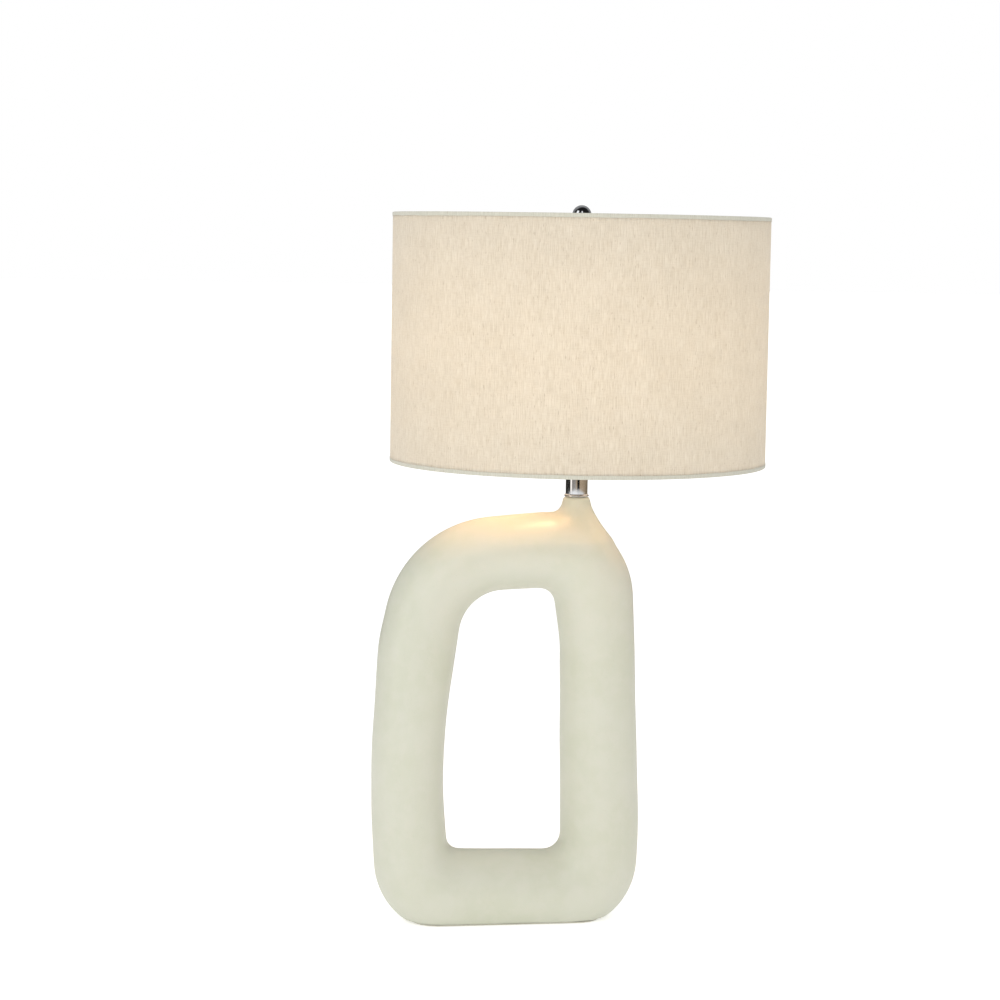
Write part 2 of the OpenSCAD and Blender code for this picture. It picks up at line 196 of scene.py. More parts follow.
TIP = 1e-4


def lathe_rings(profile, segments, centre=None):
    """A ring of points at each (r, z) of a profile, round the lamp's axis or another upright one."""
    cx, cy = centre or (AXIS_X, 0)
    rings = []
    for r, z in profile:
        count = segments if r > TIP else 1
        rings.append([(cx + r * math.cos(a), cy + r * math.sin(a), z) for a in angles(count)])
    return rings


def lathe(profile, segments=96, closed=False, centre=None):
    """A turned shape. A closed profile makes a ring; an open one ends on the axis."""
    return skin(lathe_rings(profile, segments, centre), wrap=closed)


def tilt(shape, origin, way):
    """Moves a shape turned about +Z so that +Z points along y by way, and its z = 0 sits at origin."""
    points, faces = shape
    turn = Vector((0, 0, 1)).rotation_difference(Vector((0, way, 0)))
    return [tuple(Vector(origin) + turn @ Vector(p)) for p in points], faces


def crosswise(profile, origin, way, segments, closed=False):
    """A turned shape whose axis lies along y, from origin towards the back (way 1) or the front (way -1)."""
    return tilt(lathe(profile, segments, closed, centre=(0, 0)), origin, way)


def turned(name, corners, body, node, slot, segments=96, closed=True, steps=6):
    """A piece turned round the lamp's axis, from a profile of (r, z, corner radius)."""
    return piece(name, lathe(rounded(corners, steps, closed), segments, closed), body, node, slot, sharp=40)


# A wire's end: its last ring's size and how far it stands out, as shares of the wire's radius
DOME_SIZE, DOME_RISE = 0.72, 0.3


def sweep(path, radius, sides=20):
    """A round wire along a list of points, with domed ends."""
    path = [Vector(p) for p in path]
    last = len(path) - 1
    normal = (path[1] - path[0]).orthogonal().normalized()
    rings = []
    for i, at in enumerate(path):
        along = (path[min(i + 1, last)] - path[max(i - 1, 0)]).normalized()
        normal = (normal - along * normal.dot(along)).normalized()
        side = along.cross(normal)
        rings.append([at + (normal * math.cos(a) + side * math.sin(a)) * radius for a in angles(sides)])

    def dome(ring, at, other):
        out = (at - other).normalized() * radius * DOME_RISE
        return [at + (p - at) * DOME_SIZE + out for p in ring]

    rings = [dome(rings[0], path[0], path[1]), *rings, dome(rings[-1], path[-1], path[-2])]
    return skin(rings, capped=True)


def bulb_thread(radius, depth, z_low, z_high, wall, segments=72, rows=12):
    """The rolled round thread of a bulb and its socket: a thin tube whose wall itself waves in and out."""
    count = int((z_high - z_low) / BULB_PITCH * rows)
    outer, inner = [], []
    for j in range(count + 1):
        z = z_low + (z_high - z_low) * j / count
        fade = min(1, j / rows, (count - j) / rows)
        for rings, inset in ((outer, 0), (inner, wall)):
            ring = []
            for a in angles(segments):
                wave = 0.5 + 0.5 * math.cos(2 * math.pi * z / BULB_PITCH - a)
                r = radius - depth * (1 - wave * fade) - inset
                ring.append((AXIS_X + r * math.cos(a), r * math.sin(a), z))
            rings.append(ring)
    return skin(outer + inner[::-1], wrap=True)


# ---------------------------------------------------------------- material helpers

def srgb(red, green, blue, alpha=1.0):
    """A colour given as 0 to 255, as the linear values that a shader takes."""
    def straight(c):
        c /= 255
        return c / 12.92 if c <= 0.04045 else ((c + 0.055) / 1.055) ** 2.4
    return (straight(red), straight(green), straight(blue), alpha)


SOCKETS = {"color": "Base Color", "rough": "Roughness", "normal": "Normal", "metal": "Metallic",
           "specular": "Specular IOR Level", "sheen": "Sheen Weight", "sheen_rough": "Sheen Roughness",
           "glow": "Emission Color", "glow_strength": "Emission Strength"}


class Nodes:
    """A small builder for the node tree of a material or a world."""

    def __init__(self, owner):
        owner.use_nodes = True
        self.owner = owner
        self.tree = owner.node_tree
        self.shader = self.tree.nodes.get("Principled BSDF")

    def feed(self, socket, value):
        """A number or a colour is set on the socket itself, and a node's output is linked to it."""
        if isinstance(value, (int, float, tuple)):
            socket.default_value = value
        else:
            self.tree.links.new(value, socket)

    def add(self, kind, inputs=None, **settings):
        node = self.tree.nodes.new(kind)
        for key, value in settings.items():
            setattr(node, key, value)
        for key, value in (inputs or {}).items():
            self.feed(node.inputs[key], value)
        return node

    def place(self, scale=(1, 1, 1), turn=(0, 0, 0), uv=None):
        """Coordinates in metres, or along a named UV map, times scale."""
        if uv:
            source = self.add("ShaderNodeUVMap", uv_map=uv).outputs["UV"]
        else:
            source = self.add("ShaderNodeTexCoord").outputs["Object"]
        inputs = {"Scale": scale, "Rotation": turn, "Vector": source}
        return self.add("ShaderNodeMapping", inputs).outputs["Vector"]

    def split(self, vector):
        return self.add("ShaderNodeSeparateXYZ", {"Vector": vector}).outputs

    def noise(self, where, scale=1.0, detail=2.0, rough=0.5, distortion=0.0):
        inputs = {"Vector": where, "Scale": scale, "Detail": detail, "Roughness": rough,
                  "Distortion": distortion}
        return self.add("ShaderNodeTexNoise", inputs).outputs["Fac"]

    def cells(self, where, scale):
        return self.add("ShaderNodeTexVoronoi", {"Vector": where, "Scale": scale}).outputs["Distance"]

    def remap(self, value, from_low, from_high, to_low=0.0, to_high=1.0, smooth=False):
        inputs = {"Value": value, "From Min": from_low, "From Max": from_high,
                  "To Min": to_low, "To Max": to_high}
        kind = "SMOOTHSTEP" if smooth else "LINEAR"
        return self.add("ShaderNodeMapRange", inputs, interpolation_type=kind).outputs["Result"]

    def math(self, operation, *values, clamp=False):
        inputs = dict(enumerate(values))
        return self.add("ShaderNodeMath", inputs, operation=operation, use_clamp=clamp).outputs["Value"]

    def mix(self, factor, first, second):
        return self.add("ShaderNodeMix", {0: factor, 6: first, 7: second}, data_type="RGBA").outputs[2]

    def bump(self, height, distance, strength=1.0, under=None):
        inputs = {"Strength": strength, "Distance": distance, "Height": height}
        if under:
            inputs["Normal"] = under
        return self.add("ShaderNodeBump", inputs).outputs["Normal"]

    def finish(self, surface):
        """Links a shader to the output in place of the one there."""
        output = next(node for node in self.tree.nodes if node.type.startswith("OUTPUT"))
        self.feed(output.inputs["Surface"], surface)
        return self.owner

    def wire(self, **values):
        """Feeds the main shader, by the short names in SOCKETS."""
        for key, value in values.items():
            self.feed(self.shader.inputs[SOCKETS[key]], value)
        return self.owner


def surface(name):
    return Nodes(bpy.data.materials.new(name))


# ---------------------------------------------------------------- materials

def glazed_ceramic():
    """Satin pale sage-cream glaze: soft clouds of tone, fine pale flecks and a faint orange peel."""
    m = surface("glazed_ceramic")
    place = m.place()
    clouds = m.remap(m.noise(place, 14, 3, 0.55), 0.34, 0.68, smooth=True)
    tone = m.mix(clouds, srgb(209, 211, 192), srgb(214, 215, 199))
    veil = m.remap(m.noise(place, 75, 4, 0.6), 0.42, 0.66, 0.0, 0.35, smooth=True)
    tone = m.mix(veil, tone, srgb(217, 216, 202))
    specks = m.remap(m.cells(place, 260), 0.05, 0.11, 0.35, 0.0, smooth=True)
    tone = m.mix(specks, tone, srgb(176, 172, 150))
    pits = m.remap(m.cells(place, 340), 0.0, 0.16, 0.0, 1.0, smooth=True)
    normal = m.bump(m.noise(place, 30, 2, 0.5), 0.0012, 0.25)
    normal = m.bump(m.noise(place, 420, 2, 0.5), 0.00012, 0.5, normal)
    normal = m.bump(pits, 0.00006, 0.35, normal)
    rough = m.remap(m.noise(place, 120, 3, 0.6), 0.3, 0.7, 0.34, 0.44)
    return m.wire(color=tone, rough=rough, normal=normal, specular=0.6)


def polished_chrome():
    """Bright plating with faint wiping marks."""
    m = surface("polished_chrome")
    smear = m.noise(m.place(), 90, 3, 0.6, 0.4)
    lines = m.noise(m.place(scale=(1, 1, 14)), 700, 2, 0.6)
    tone = m.mix(m.remap(smear, 0.35, 0.7), srgb(206, 208, 211), srgb(220, 222, 225))
    rough = m.remap(smear, 0.3, 0.75, 0.06, 0.13)
    return m.wire(color=tone, rough=rough, normal=m.bump(lines, 0.00001, 0.15), metal=1.0)


def satin_nickel():
    """Nickel-plated wire and sheet, brushed fine, slightly yellow."""
    m = surface("satin_nickel")
    cloud = m.noise(m.place(), 60, 3, 0.6)
    grain = m.noise(m.place(scale=(1, 1, 0.1)), 1500, 2, 0.6)
    tone = m.mix(m.remap(cloud, 0.3, 0.7), srgb(176, 171, 160), srgb(200, 196, 186))
    rough = m.remap(grain, 0.2, 0.8, 0.24, 0.4)
    return m.wire(color=tone, rough=rough, normal=m.bump(grain, 0.00003, 0.3), metal=1.0)


def zinc_steel():
    m = surface("zinc_steel")
    place = m.place()
    cloud = m.noise(place, 150, 3, 0.6)
    tone = m.mix(m.remap(cloud, 0.3, 0.7), srgb(142, 145, 148), srgb(178, 181, 184))
    rough = m.remap(m.cells(place, 420), 0.0, 0.6, 0.32, 0.5)
    return m.wire(color=tone, rough=rough, normal=m.bump(cloud, 0.00005, 0.4), metal=1.0)


def stamped_brass():
    m = surface("stamped_brass")
    place = m.place()
    cloud = m.noise(place, 110, 3, 0.6)
    tarnish = m.remap(m.noise(place, 320, 4, 0.65), 0.5, 0.75, 0.0, 0.5, smooth=True)
    tone = m.mix(m.remap(cloud, 0.3, 0.7), srgb(186, 152, 84), srgb(212, 182, 112))
    tone = m.mix(tarnish, tone, srgb(140, 108, 58))
    rough = m.remap(cloud, 0.3, 0.7, 0.26, 0.42)
    return m.wire(color=tone, rough=rough, normal=m.bump(cloud, 0.00004, 0.4), metal=1.0)


def moulded_black():
    """Phenolic and plastic mouldings: deep brown-black with a dusty, fine texture."""
    m = surface("moulded_black")
    place = m.place()
    dust = m.remap(m.noise(place, 300, 4, 0.7), 0.45, 0.8, 0.0, 0.35, smooth=True)
    tone = m.mix(dust, srgb(26, 23, 21), srgb(62, 57, 52))
    grain = m.noise(place, 1800, 2, 0.6)
    rough = m.remap(dust, 0.0, 0.35, 0.3, 0.5)
    return m.wire(color=tone, rough=rough, normal=m.bump(grain, 0.00003, 0.4))


def dense_felt():
    """Short matted fibres of undyed wool."""
    m = surface("dense_felt")
    fibre = m.noise(m.place(scale=(1, 3, 1), turn=(0, 0, 0.6)), 900, 5, 0.75, 1.5)
    clumps = m.noise(m.place(), 160, 3, 0.6)
    tone = m.mix(m.remap(fibre, 0.3, 0.7), srgb(226, 223, 210), srgb(200, 196, 180))
    tone = m.mix(m.remap(clumps, 0.4, 0.7, 0.0, 0.4), tone, srgb(212, 208, 194))
    return m.wire(color=tone, normal=m.bump(fibre, 0.0004, 0.8), rough=0.95, sheen=0.5, sheen_rough=0.6)


def fibre_paper():
    m = surface("fibre_paper")
    fibre = m.noise(m.place(scale=(1, 1, 0.25)), 700, 4, 0.7, 0.8)
    tone = m.mix(m.remap(fibre, 0.3, 0.7), srgb(188, 164, 120), srgb(216, 198, 160))
    rough = m.remap(m.noise(m.place(), 200), 0.3, 0.7, 0.7, 0.85)
    return m.wire(color=tone, rough=rough, normal=m.bump(fibre, 0.0001, 0.5))


# Distances between threads round and up the cloth, in metres
YARN_PITCH = 0.00062
WEFT_PITCH = 0.00074


def linen_nodes(name, light, dark, slub_strength=1.0):
    """Plain-weave linen along the UV map "cloth", whose units are metres round and up the cloth."""
    m = surface(name)
    places = m.split(m.add("ShaderNodeUVMap", uv_map="cloth").outputs["UV"])

    def threads(around, up, detail, rough):
        return m.noise(m.place(scale=(around, up, 1), uv="cloth"), 1.0, detail, rough)

    # Threads wander a little, so the weave isn't a perfect grid
    drift = m.math("MULTIPLY", m.math("SUBTRACT", threads(180, 40, 2, 0.5), 0.5), 1.6)

    def wave(where, pitch):
        return m.math("SINE", m.math("ADD", m.math("MULTIPLY", where, 2 * math.pi / pitch), drift))

    weave = m.math("MULTIPLY", wave(places["X"], YARN_PITCH), wave(places["Y"], WEFT_PITCH))

    # Slubs: thick-and-thin runs of the upright yarns, each its own length
    streak = threads(1250, 66, 3, 0.62)
    shade = m.remap(streak, 0.36, 0.64, 0.0, 0.6, smooth=True)
    shade = m.math("ADD", shade, m.remap(threads(430, 14, 2, 0.55), 0.38, 0.64, 0.0, 0.12, smooth=True))
    shade = m.math("ADD", shade, m.remap(threads(110, 760, 2, 0.5), 0.4, 0.66, 0.0, 0.16, smooth=True))
    patches = m.remap(threads(26, 18, 3, 0.6), 0.35, 0.68, -0.05, 0.08, smooth=True)
    shade = m.math("ADD", shade, patches, clamp=True)
    tone = m.mix(shade, srgb(*light), srgb(*dark))
    flecks = m.remap(threads(640, 120, 2, 0.6), 0.62, 0.72, 0.0, 0.42 * slub_strength, smooth=True)
    tone = m.mix(flecks, tone, srgb(176, 156, 130))

    normal = m.bump(weave, 0.00012, 0.5)
    normal = m.bump(streak, 0.0005, 0.35 * slub_strength, normal)
    m.wire(color=tone, normal=normal, rough=0.88, specular=0.2, sheen=0.25, sheen_rough=0.5)
    return m, tone, normal


def lit_through(m, tone, normal, share):
    """Lets a share of the light from the bulb pass through a thin sheet."""
    through = m.add("ShaderNodeBsdfTranslucent", {"Color": tone, "Normal": normal}).outputs["BSDF"]
    mixed = m.add("ShaderNodeMixShader", {0: share, 1: m.shader.outputs["BSDF"], 2: through})
    return m.finish(mixed.outputs["Shader"])


def shade_linen():
    return lit_through(*linen_nodes("shade_linen", (245, 236, 221), (222, 210, 191)), 0.4)


def edge_tape():
    return linen_nodes("edge_tape", (220, 218, 204), (197, 195, 178), 0.6)[0].owner


def lining_film():
    """Milky film with a faint fibrous tooth."""
    m = surface("lining_film")
    fibre = m.noise(m.place(scale=(1, 1, 0.4)), 260, 4, 0.6, 0.6)
    strands = m.remap(fibre, 0.3, 0.7)
    tone = m.mix(strands, srgb(238, 233, 224), srgb(248, 245, 238))
    passed = m.mix(strands, srgb(196, 224, 246), srgb(206, 232, 255))
    normal = m.bump(fibre, 0.0001, 0.3)
    m.wire(color=tone, rough=m.remap(fibre, 0.3, 0.7, 0.42, 0.55), normal=normal)
    return lit_through(m, passed, normal, 0.52)


def frosted_glass():
    """Lit, frosted bulb glass."""
    m = surface("frosted_glass")
    frost = m.noise(m.place(), 900, 2, 0.5)
    tone = m.mix(m.remap(frost, 0.3, 0.7), srgb(196, 186, 166), srgb(208, 200, 182))
    return m.wire(color=tone, normal=m.bump(frost, 0.00004, 0.3), rough=0.4,
                  glow=(1.0, 0.76, 0.36, 1.0), glow_strength=0.5)


def light_strip():
    m = surface("light_strip")
    dots = m.remap(m.cells(m.place(), 500), 0.1, 0.4)
    return m.wire(color=m.mix(dots, srgb(250, 214, 120), srgb(236, 230, 214)), rough=0.5)


# ---------------------------------------------------------------- ceramic base

# Corner points of the loop's outlines in the x-z plane: x, z and the corner's radius
OUTER = [(-216, -12, 84), (87.5, -12, 82), (90.5, 115, 1000), (73.8, 487.5, 102),
         (-189, 464.5, 134), (-217.5, 331, 176), (-226.5, 177, 1200)]
INNER = [(-135.5, 84, 17), (-1.2, 81, 18), (-5.8, 323, 104),
         (-15.5, 391, 20), (-119, 386, 52), (-144.5, 200, 640)]
# Tighter radii that the tube's two legs meet at, well under the skin, for a soft mitre at each inner corner
MITRE_RADII = (30, 30, 1000, 44, 134, 176, 1200)
MITRE_REACH = 45
BASE_HALF_DEPTH = 46
THINNEST_HALF = 12
TUBE_SOFTNESS = 2.5
# The neck widens as a slender cone first, and from NECK_BREAK below its top it bends out into the shoulder
NECK_R = 15.2
NECK_CONE = 0.22
NECK_BREAK = 8
NECK_BEND = 14
NECK_SHOULDER = 0.5
NECK_SLANT = 1.118
NECK_REACH = 50
NECK_BLEND = 8
BASE_SOFTNESS = 2.2
EDGE_ROUND = 3.5
# The grid that the base is worked out on: its cell, and where it starts and stops round the base
GRID = 2.5
GRID_X = (-240, 104)
GRID_Y = (-56.25, 56.3)
GRID_START_Z = -8.75
GRID_ABOVE_NECK = 12
CORNERS = [(i, j, k) for i in (0, 1) for j in (0, 1) for k in (0, 1)]


def signed_distance(corners, x, z):
    """Distance to a closed outline with rounded corners, positive inside it."""
    outline = rounded(corners, 24)
    at = np.stack([x.ravel(), z.ravel()], axis=1)
    best = np.full(len(at), 1e9)
    inside = np.zeros(len(at), bool)
    for a, b in zip(outline, np.roll(outline, -1, axis=0)):
        edge = b - a
        length = edge @ edge
        if length < 1e-9:
            continue
        t = np.clip(((at - a) @ edge) / length, 0, 1)
        gap = at - a - t[:, None] * edge
        best = np.minimum(best, (gap * gap).sum(axis=1))
        crosses = (a[1] > at[:, 1]) != (b[1] > at[:, 1])
        rise = edge[1] if edge[1] else 1e-12
        inside ^= crosses & (at[:, 0] < a[0] + (at[:, 1] - a[1]) * edge[0] / rise)
    return np.where(inside, 1, -1).reshape(x.shape) * np.sqrt(best).reshape(x.shape)


def soften(field, sigma):
    """Gaussian blur of a 3-D array, sigma in millimetres."""
    cells = sigma / GRID
    reach = int(math.ceil(3 * cells))
    weights = np.exp(-0.5 * (np.arange(-reach, reach + 1) / cells) ** 2)
    weights /= weights.sum()
    for axis in range(3):
        pad = [(0, 0)] * 3
        pad[axis] = (reach, reach)
        wide = np.pad(field, pad, mode="edge")
        out = np.zeros_like(field)
        for i, weight in enumerate(weights):
            window = [slice(None)] * 3
            window[axis] = slice(i, i + field.shape[axis])
            out += weight * wide[tuple(window)]
        field = out
    return field


def smooth_min(a, b, blend):
    h = np.maximum(blend - np.abs(a - b), 0) / blend
    return np.minimum(a, b) - h * h * blend / 4


def smooth_max(a, b, blend):
    return -smooth_min(-a, -b, blend)


def base_field():
    """The base as a field over a grid, negative inside: a tube of elliptical section and a flared neck."""
    xs = np.arange(*GRID_X, GRID)
    ys = np.arange(*GRID_Y, GRID)
    zs = np.arange(GRID_START_Z, NECK_TOP + GRID_ABOVE_NECK, GRID)
    x, z = np.meshgrid(xs, zs, indexing="ij")
    to_outer = signed_distance(OUTER, x, z)
    to_mitred = signed_distance([(px, pz, r) for (px, pz, _), r in zip(OUTER, MITRE_RADII)], x, z)
    to_outer = to_outer + (to_mitred - to_outer) * ease(to_outer / MITRE_REACH)
    to_inner = -signed_distance(INNER, x, z)
    half = np.maximum((to_outer + to_inner) / 2, THINNEST_HALF)[:, None, :]
    off_middle = ((to_inner - to_outer) / 2)[:, None, :]
    y = ys[None, :, None]
    tube = np.sqrt((off_middle / half) ** 2 + (y / BASE_HALF_DEPTH) ** 2) - 1
    tube = soften(tube * np.minimum(half, BASE_HALF_DEPTH), TUBE_SOFTNESS)

    height = zs[None, None, :]
    from_axis = np.sqrt((xs[:, None, None] - AXIS_X) ** 2 + y ** 2) + 0 * height
    down = np.clip(NECK_TOP - height, 0, NECK_REACH)
    bent = np.clip(down - NECK_BREAK, 0, NECK_REACH)
    flare = down * NECK_CONE + bent * bent / (bent + NECK_BEND) * NECK_SHOULDER
    neck = np.maximum((from_axis - NECK_R - flare) / NECK_SLANT, NECK_TOP - NECK_REACH - NECK_BEND - height)
    body = soften(smooth_min(tube, neck, NECK_BLEND), BASE_SOFTNESS)
    body = smooth_max(body, height - NECK_TOP, EDGE_ROUND)
    body = smooth_max(body, PAD_TOP - height, EDGE_ROUND)
    return np.array([xs[0], ys[0], zs[0]]), body


def surface_net(start, field):
    """Quads over the zero level of a field: one point in each grid cell that the surface passes through."""
    inside = field < 0
    nx, ny, nz = field.shape
    total = sum(inside[i:nx - 1 + i, j:ny - 1 + j, k:nz - 1 + k].astype(int) for i, j, k in CORNERS)
    cell = (total > 0) & (total < len(CORNERS))
    where = np.argwhere(cell)
    index = -np.ones(cell.shape, int)
    index[cell] = np.arange(len(where))
    crossing, count = np.zeros((len(where), 3)), np.zeros(len(where))
    for corner in CORNERS:
        for axis in range(3):
            if corner[axis]:
                continue
            other = list(corner)
            other[axis] = 1
            a = field[tuple((where + corner).T)]
            b = field[tuple((where + other).T)]
            cut = (a < 0) != (b < 0)
            point = np.tile(np.array(corner, float), (len(where), 1))
            point[:, axis] += np.where(cut, a / (a - b + 1e-30), 0)
            crossing += point * cut[:, None]
            count += cut
    points = (where + crossing / count[:, None]) * GRID + start
    faces = []
    for axis in range(3):
        across = [q for q in range(3) if q != axis]
        near = [slice(1, n - 1) for n in field.shape]
        near[axis] = slice(0, field.shape[axis] - 1)
        far = list(near)
        far[axis] = slice(1, field.shape[axis])
        a, b = inside[tuple(near)], inside[tuple(far)]
        edge = np.argwhere(a != b)
        first = edge + np.array([s.start for s in near])
        outward = a[tuple(edge.T)]
        if axis == 1:
            outward = ~outward
        corners = []
        for s, t in ((1, 1), (0, 1), (0, 0), (1, 0)):
            q = first.copy()
            q[:, across[0]] -= s
            q[:, across[1]] -= t
            corners.append(index[tuple(q.T)])
        quads = np.stack(corners, axis=1)
        quads[~outward] = quads[~outward][:, ::-1]
        faces.append(quads)
    return points, np.concatenate(faces)


def sample(field, cells):
    """Field values at fractional grid places, by trilinear interpolation."""
    low_cell = np.clip(np.floor(cells).astype(int), 0, np.array(field.shape) - 2)
    t = cells - low_cell
    value = 0
    for corner in CORNERS:
        weight = np.where(corner, t, 1 - t).prod(axis=1)
        value = value + weight * field[tuple((low_cell + corner).T)]
    return value


def slopes(points, start, field):
    return np.stack([sample(g, (points - start) / GRID) for g in np.gradient(field, GRID)], axis=1)


# How much of each correction is taken, and the least slope that it is divided by
SETTLE_ROUNDS, SETTLE_SHARE, LEAST_SLOPE = 3, 0.9, 0.05


def settle(points, start, field):
    """Moves points onto the zero level along the field's slope."""
    for _ in range(SETTLE_ROUNDS):
        value = sample(field, (points - start) / GRID)
        grad = slopes(points, start, field)
        size = np.maximum((grad * grad).sum(axis=1), LEAST_SLOPE)
        points = points - grad * (value / size)[:, None] * SETTLE_SHARE
    return points


def hand_made(points):
    """Slow swells of a fraction of a millimetre, as a cast and sponged surface has."""
    x, y, z = points.T
    return (0.16 * np.sin(x / 23 + 1.3) * np.sin(z / 31 + 0.4) + 0.12 * np.sin(z / 17 + y / 29 + 2.1)
            + 0.08 * np.sin(x / 11 - z / 13) * np.sin(y / 12 + 0.7))


def cut_with(obj, cutters):
    """Subtracts shapes from a piece for good."""
    holders = [mesh_object(f"cutter_{n}", shape, MM) for n, shape in enumerate(cutters)]
    for cutter in holders:
        face_outwards(cutter)
        change = obj.modifiers.new("cut", "BOOLEAN")
        change.operation = "DIFFERENCE"
        change.solver = "EXACT"
        change.object = cutter
    seen = bpy.context.evaluated_depsgraph_get()
    result = bpy.data.meshes.new_from_object(obj.evaluated_get(seen))
    obj.modifiers.clear()
    obj.data = result
    for cutter in holders:
        bpy.data.objects.remove(cutter)


BUSHING_FLANGE = 2
INLET_R = 4.8
INLET_SEAT_GAP = 0.4
INLET_WALL = 12
CUTTER_LENGTH = 30
FLAT_ENOUGH = 0.999


def ceramic_base():
    start, field = base_field()
    points, faces = surface_net(start, field)
    points = settle(points, start, field)
    normal = slopes(points, start, field)
    normal /= np.linalg.norm(normal, axis=1)[:, None]
    flat = np.abs(normal[:, 2]) > FLAT_ENOUGH
    points += normal * np.where(flat, 0, hand_made(points))[:, None]
    base = piece("ceramic_base", (points, faces), "base", "base_shell", "ceramic", solid=False)

    x, _, z = middle("cord_bushing")
    seat_y = high("cord_bushing")[1] - BUSHING_FLANGE
    seat_r = half_width("cord_bushing") + INLET_SEAT_GAP
    cutters = []
    for r, y, segments in ((seat_r, seat_y, 48), (INLET_R, seat_y - INLET_WALL, 40)):
        plug = [(0, 0), (r, 0), (r, CUTTER_LENGTH), (0, CUTTER_LENGTH)]
        cutters.append(crosswise(plug, (x, y, z), 1, segments))
    cut_with(base, cutters)
    base.data.shade_smooth()
    base.data.set_sharp_from_angle(angle=math.radians(50))


def felt_foot():
    """Felt pad with a softly worn edge, and a slight wobble in its cut."""
    lo, hi = low("felt_pad"), high("felt_pad")
    spare, points_per_end = 0.4, 64
    radius = (hi[1] - lo[1]) / 2 - spare
    outline = []
    for centre_x, start in ((lo[0] + radius + spare, math.pi / 2), (hi[0] - radius - spare, -math.pi / 2)):
        for k in range(points_per_end):
            a = start + math.pi * k / (points_per_end - 1)
            outline.append((centre_x + radius * math.cos(a), radius * math.sin(a), a))
    rings = []
    for inset, z in ((0.45, lo[2]), (0.12, lo[2] + 0.2), (0, lo[2] + 0.7), (0, hi[2])):
        ring = []
        for n, (x, y, a) in enumerate(outline):
            pull = inset + 0.12 * math.sin(n * 0.9)
            ring.append((x - pull * math.cos(a), y - pull * math.sin(a), z))
        rings.append(ring)
    return piece("felt_foot", skin(rings, capped=True), "base", "felt_pad", "felt", smooth=False)


def inlet_bushing():
    x, _, z = middle("cord_bushing")
    front, back = low("cord_bushing")[1], high("cord_bushing")[1]
    bore, sleeve, flange, length = 3.5, 4.7, half_width("cord_bushing"), back - front
    profile = rounded([(bore, 0, 0.3), (sleeve, 0, 0.5), (sleeve, length - BUSHING_FLANGE, 0.4),
                       (flange, length - BUSHING_FLANGE, 0.3), (flange, length, 0.9), (bore, length, 0.9)], 5)
    shape = crosswise(profile, (x, front, z), 1, 56, closed=True)
    piece("inlet_bushing", shape, "base", "cord_bushing", "black_plastic")


# ---------------------------------------------------------------- neck and finial

def neck_metal():
    z, ring_top = span("neck_ring")
    ring_r, tube_r, cap_r = half_width("neck_ring"), half_width("neck_tube"), half_width("neck_cap")
    tube_top, cap_top = high("neck_tube")[2], high("neck_cap")[2]
    bore, wall = 5.1, 1
    bead = (ring_top - z) / 2
    turned("neck_bead", [(bore, z, 0.2), (ring_r - bead * 0.5, z, bead * 0.4),
                         (ring_r, z + bead * 0.5, bead * 0.5), (ring_r, z + bead * 1.4, bead * 0.6),
                         (tube_r + 0.4, ring_top, 0.3), (bore, ring_top, 0.2)],
           "base", "neck_ring", "chrome", 128, steps=8)
    turned("neck_pipe_cover", [(tube_r - wall, ring_top, 0.2), (tube_r, ring_top, 0.4),
                               (tube_r, tube_top, 0.4), (tube_r - wall, tube_top, 0.2)],
           "base", "neck_tube", "chrome", 128)
    turned("check_ring", [(bore, tube_top, 0.2), (cap_r - 0.3, tube_top, 0.5), (cap_r, cap_top - 1.6, 0.8),
                          (cap_r - 2, cap_top, 1), (bore, cap_top, 0.2)],
           "base", "neck_cap", "chrome")


def ball_finial():
    """The ball's middle is level with the shade's top edge."""
    foot, foot_high = span("finial_base")
    foot_r = half_width("finial_base")
    ball_top = high("finial_ball")[2]
    ball_r = ball_top - SHADE_TOP
    bore, neck_r = 3.2, 4.6
    turned("finial_foot", [(bore, foot, 0.3), (foot_r, foot, 0.6), (foot_r, foot + 1.7, 0.7),
                           (foot_r - 2.2, foot + 2.4, 1.2), (neck_r, foot + 5, 2), (neck_r, foot_high, 0.1),
                           (bore, foot_high, 0.1)], "finial_foot", "finial_base", "chrome")
    start = math.asin((neck_r + 0.5) / ball_r)
    under, inside = SHADE_TOP - ball_r * math.cos(start), SHADE_TOP - 4
    profile = [(0, inside), (bore, inside), (bore, under + 0.5), (bore + 0.4, under)]
    steps = 40
    for k in range(steps):
        a = start + (math.pi - start) * k / steps
        profile.append((ball_r * math.sin(a), SHADE_TOP - ball_r * math.cos(a)))
    profile.append((0, ball_top))
    piece("finial_globe", lathe(profile), "finial", "finial_ball", "chrome", sharp=60)


# ---------------------------------------------------------------- harp

HARP_WIRE = 2.3
HARP_SPREAD = 30
HARP_STRAIGHT = 44
SADDLE_THICK = 1.5


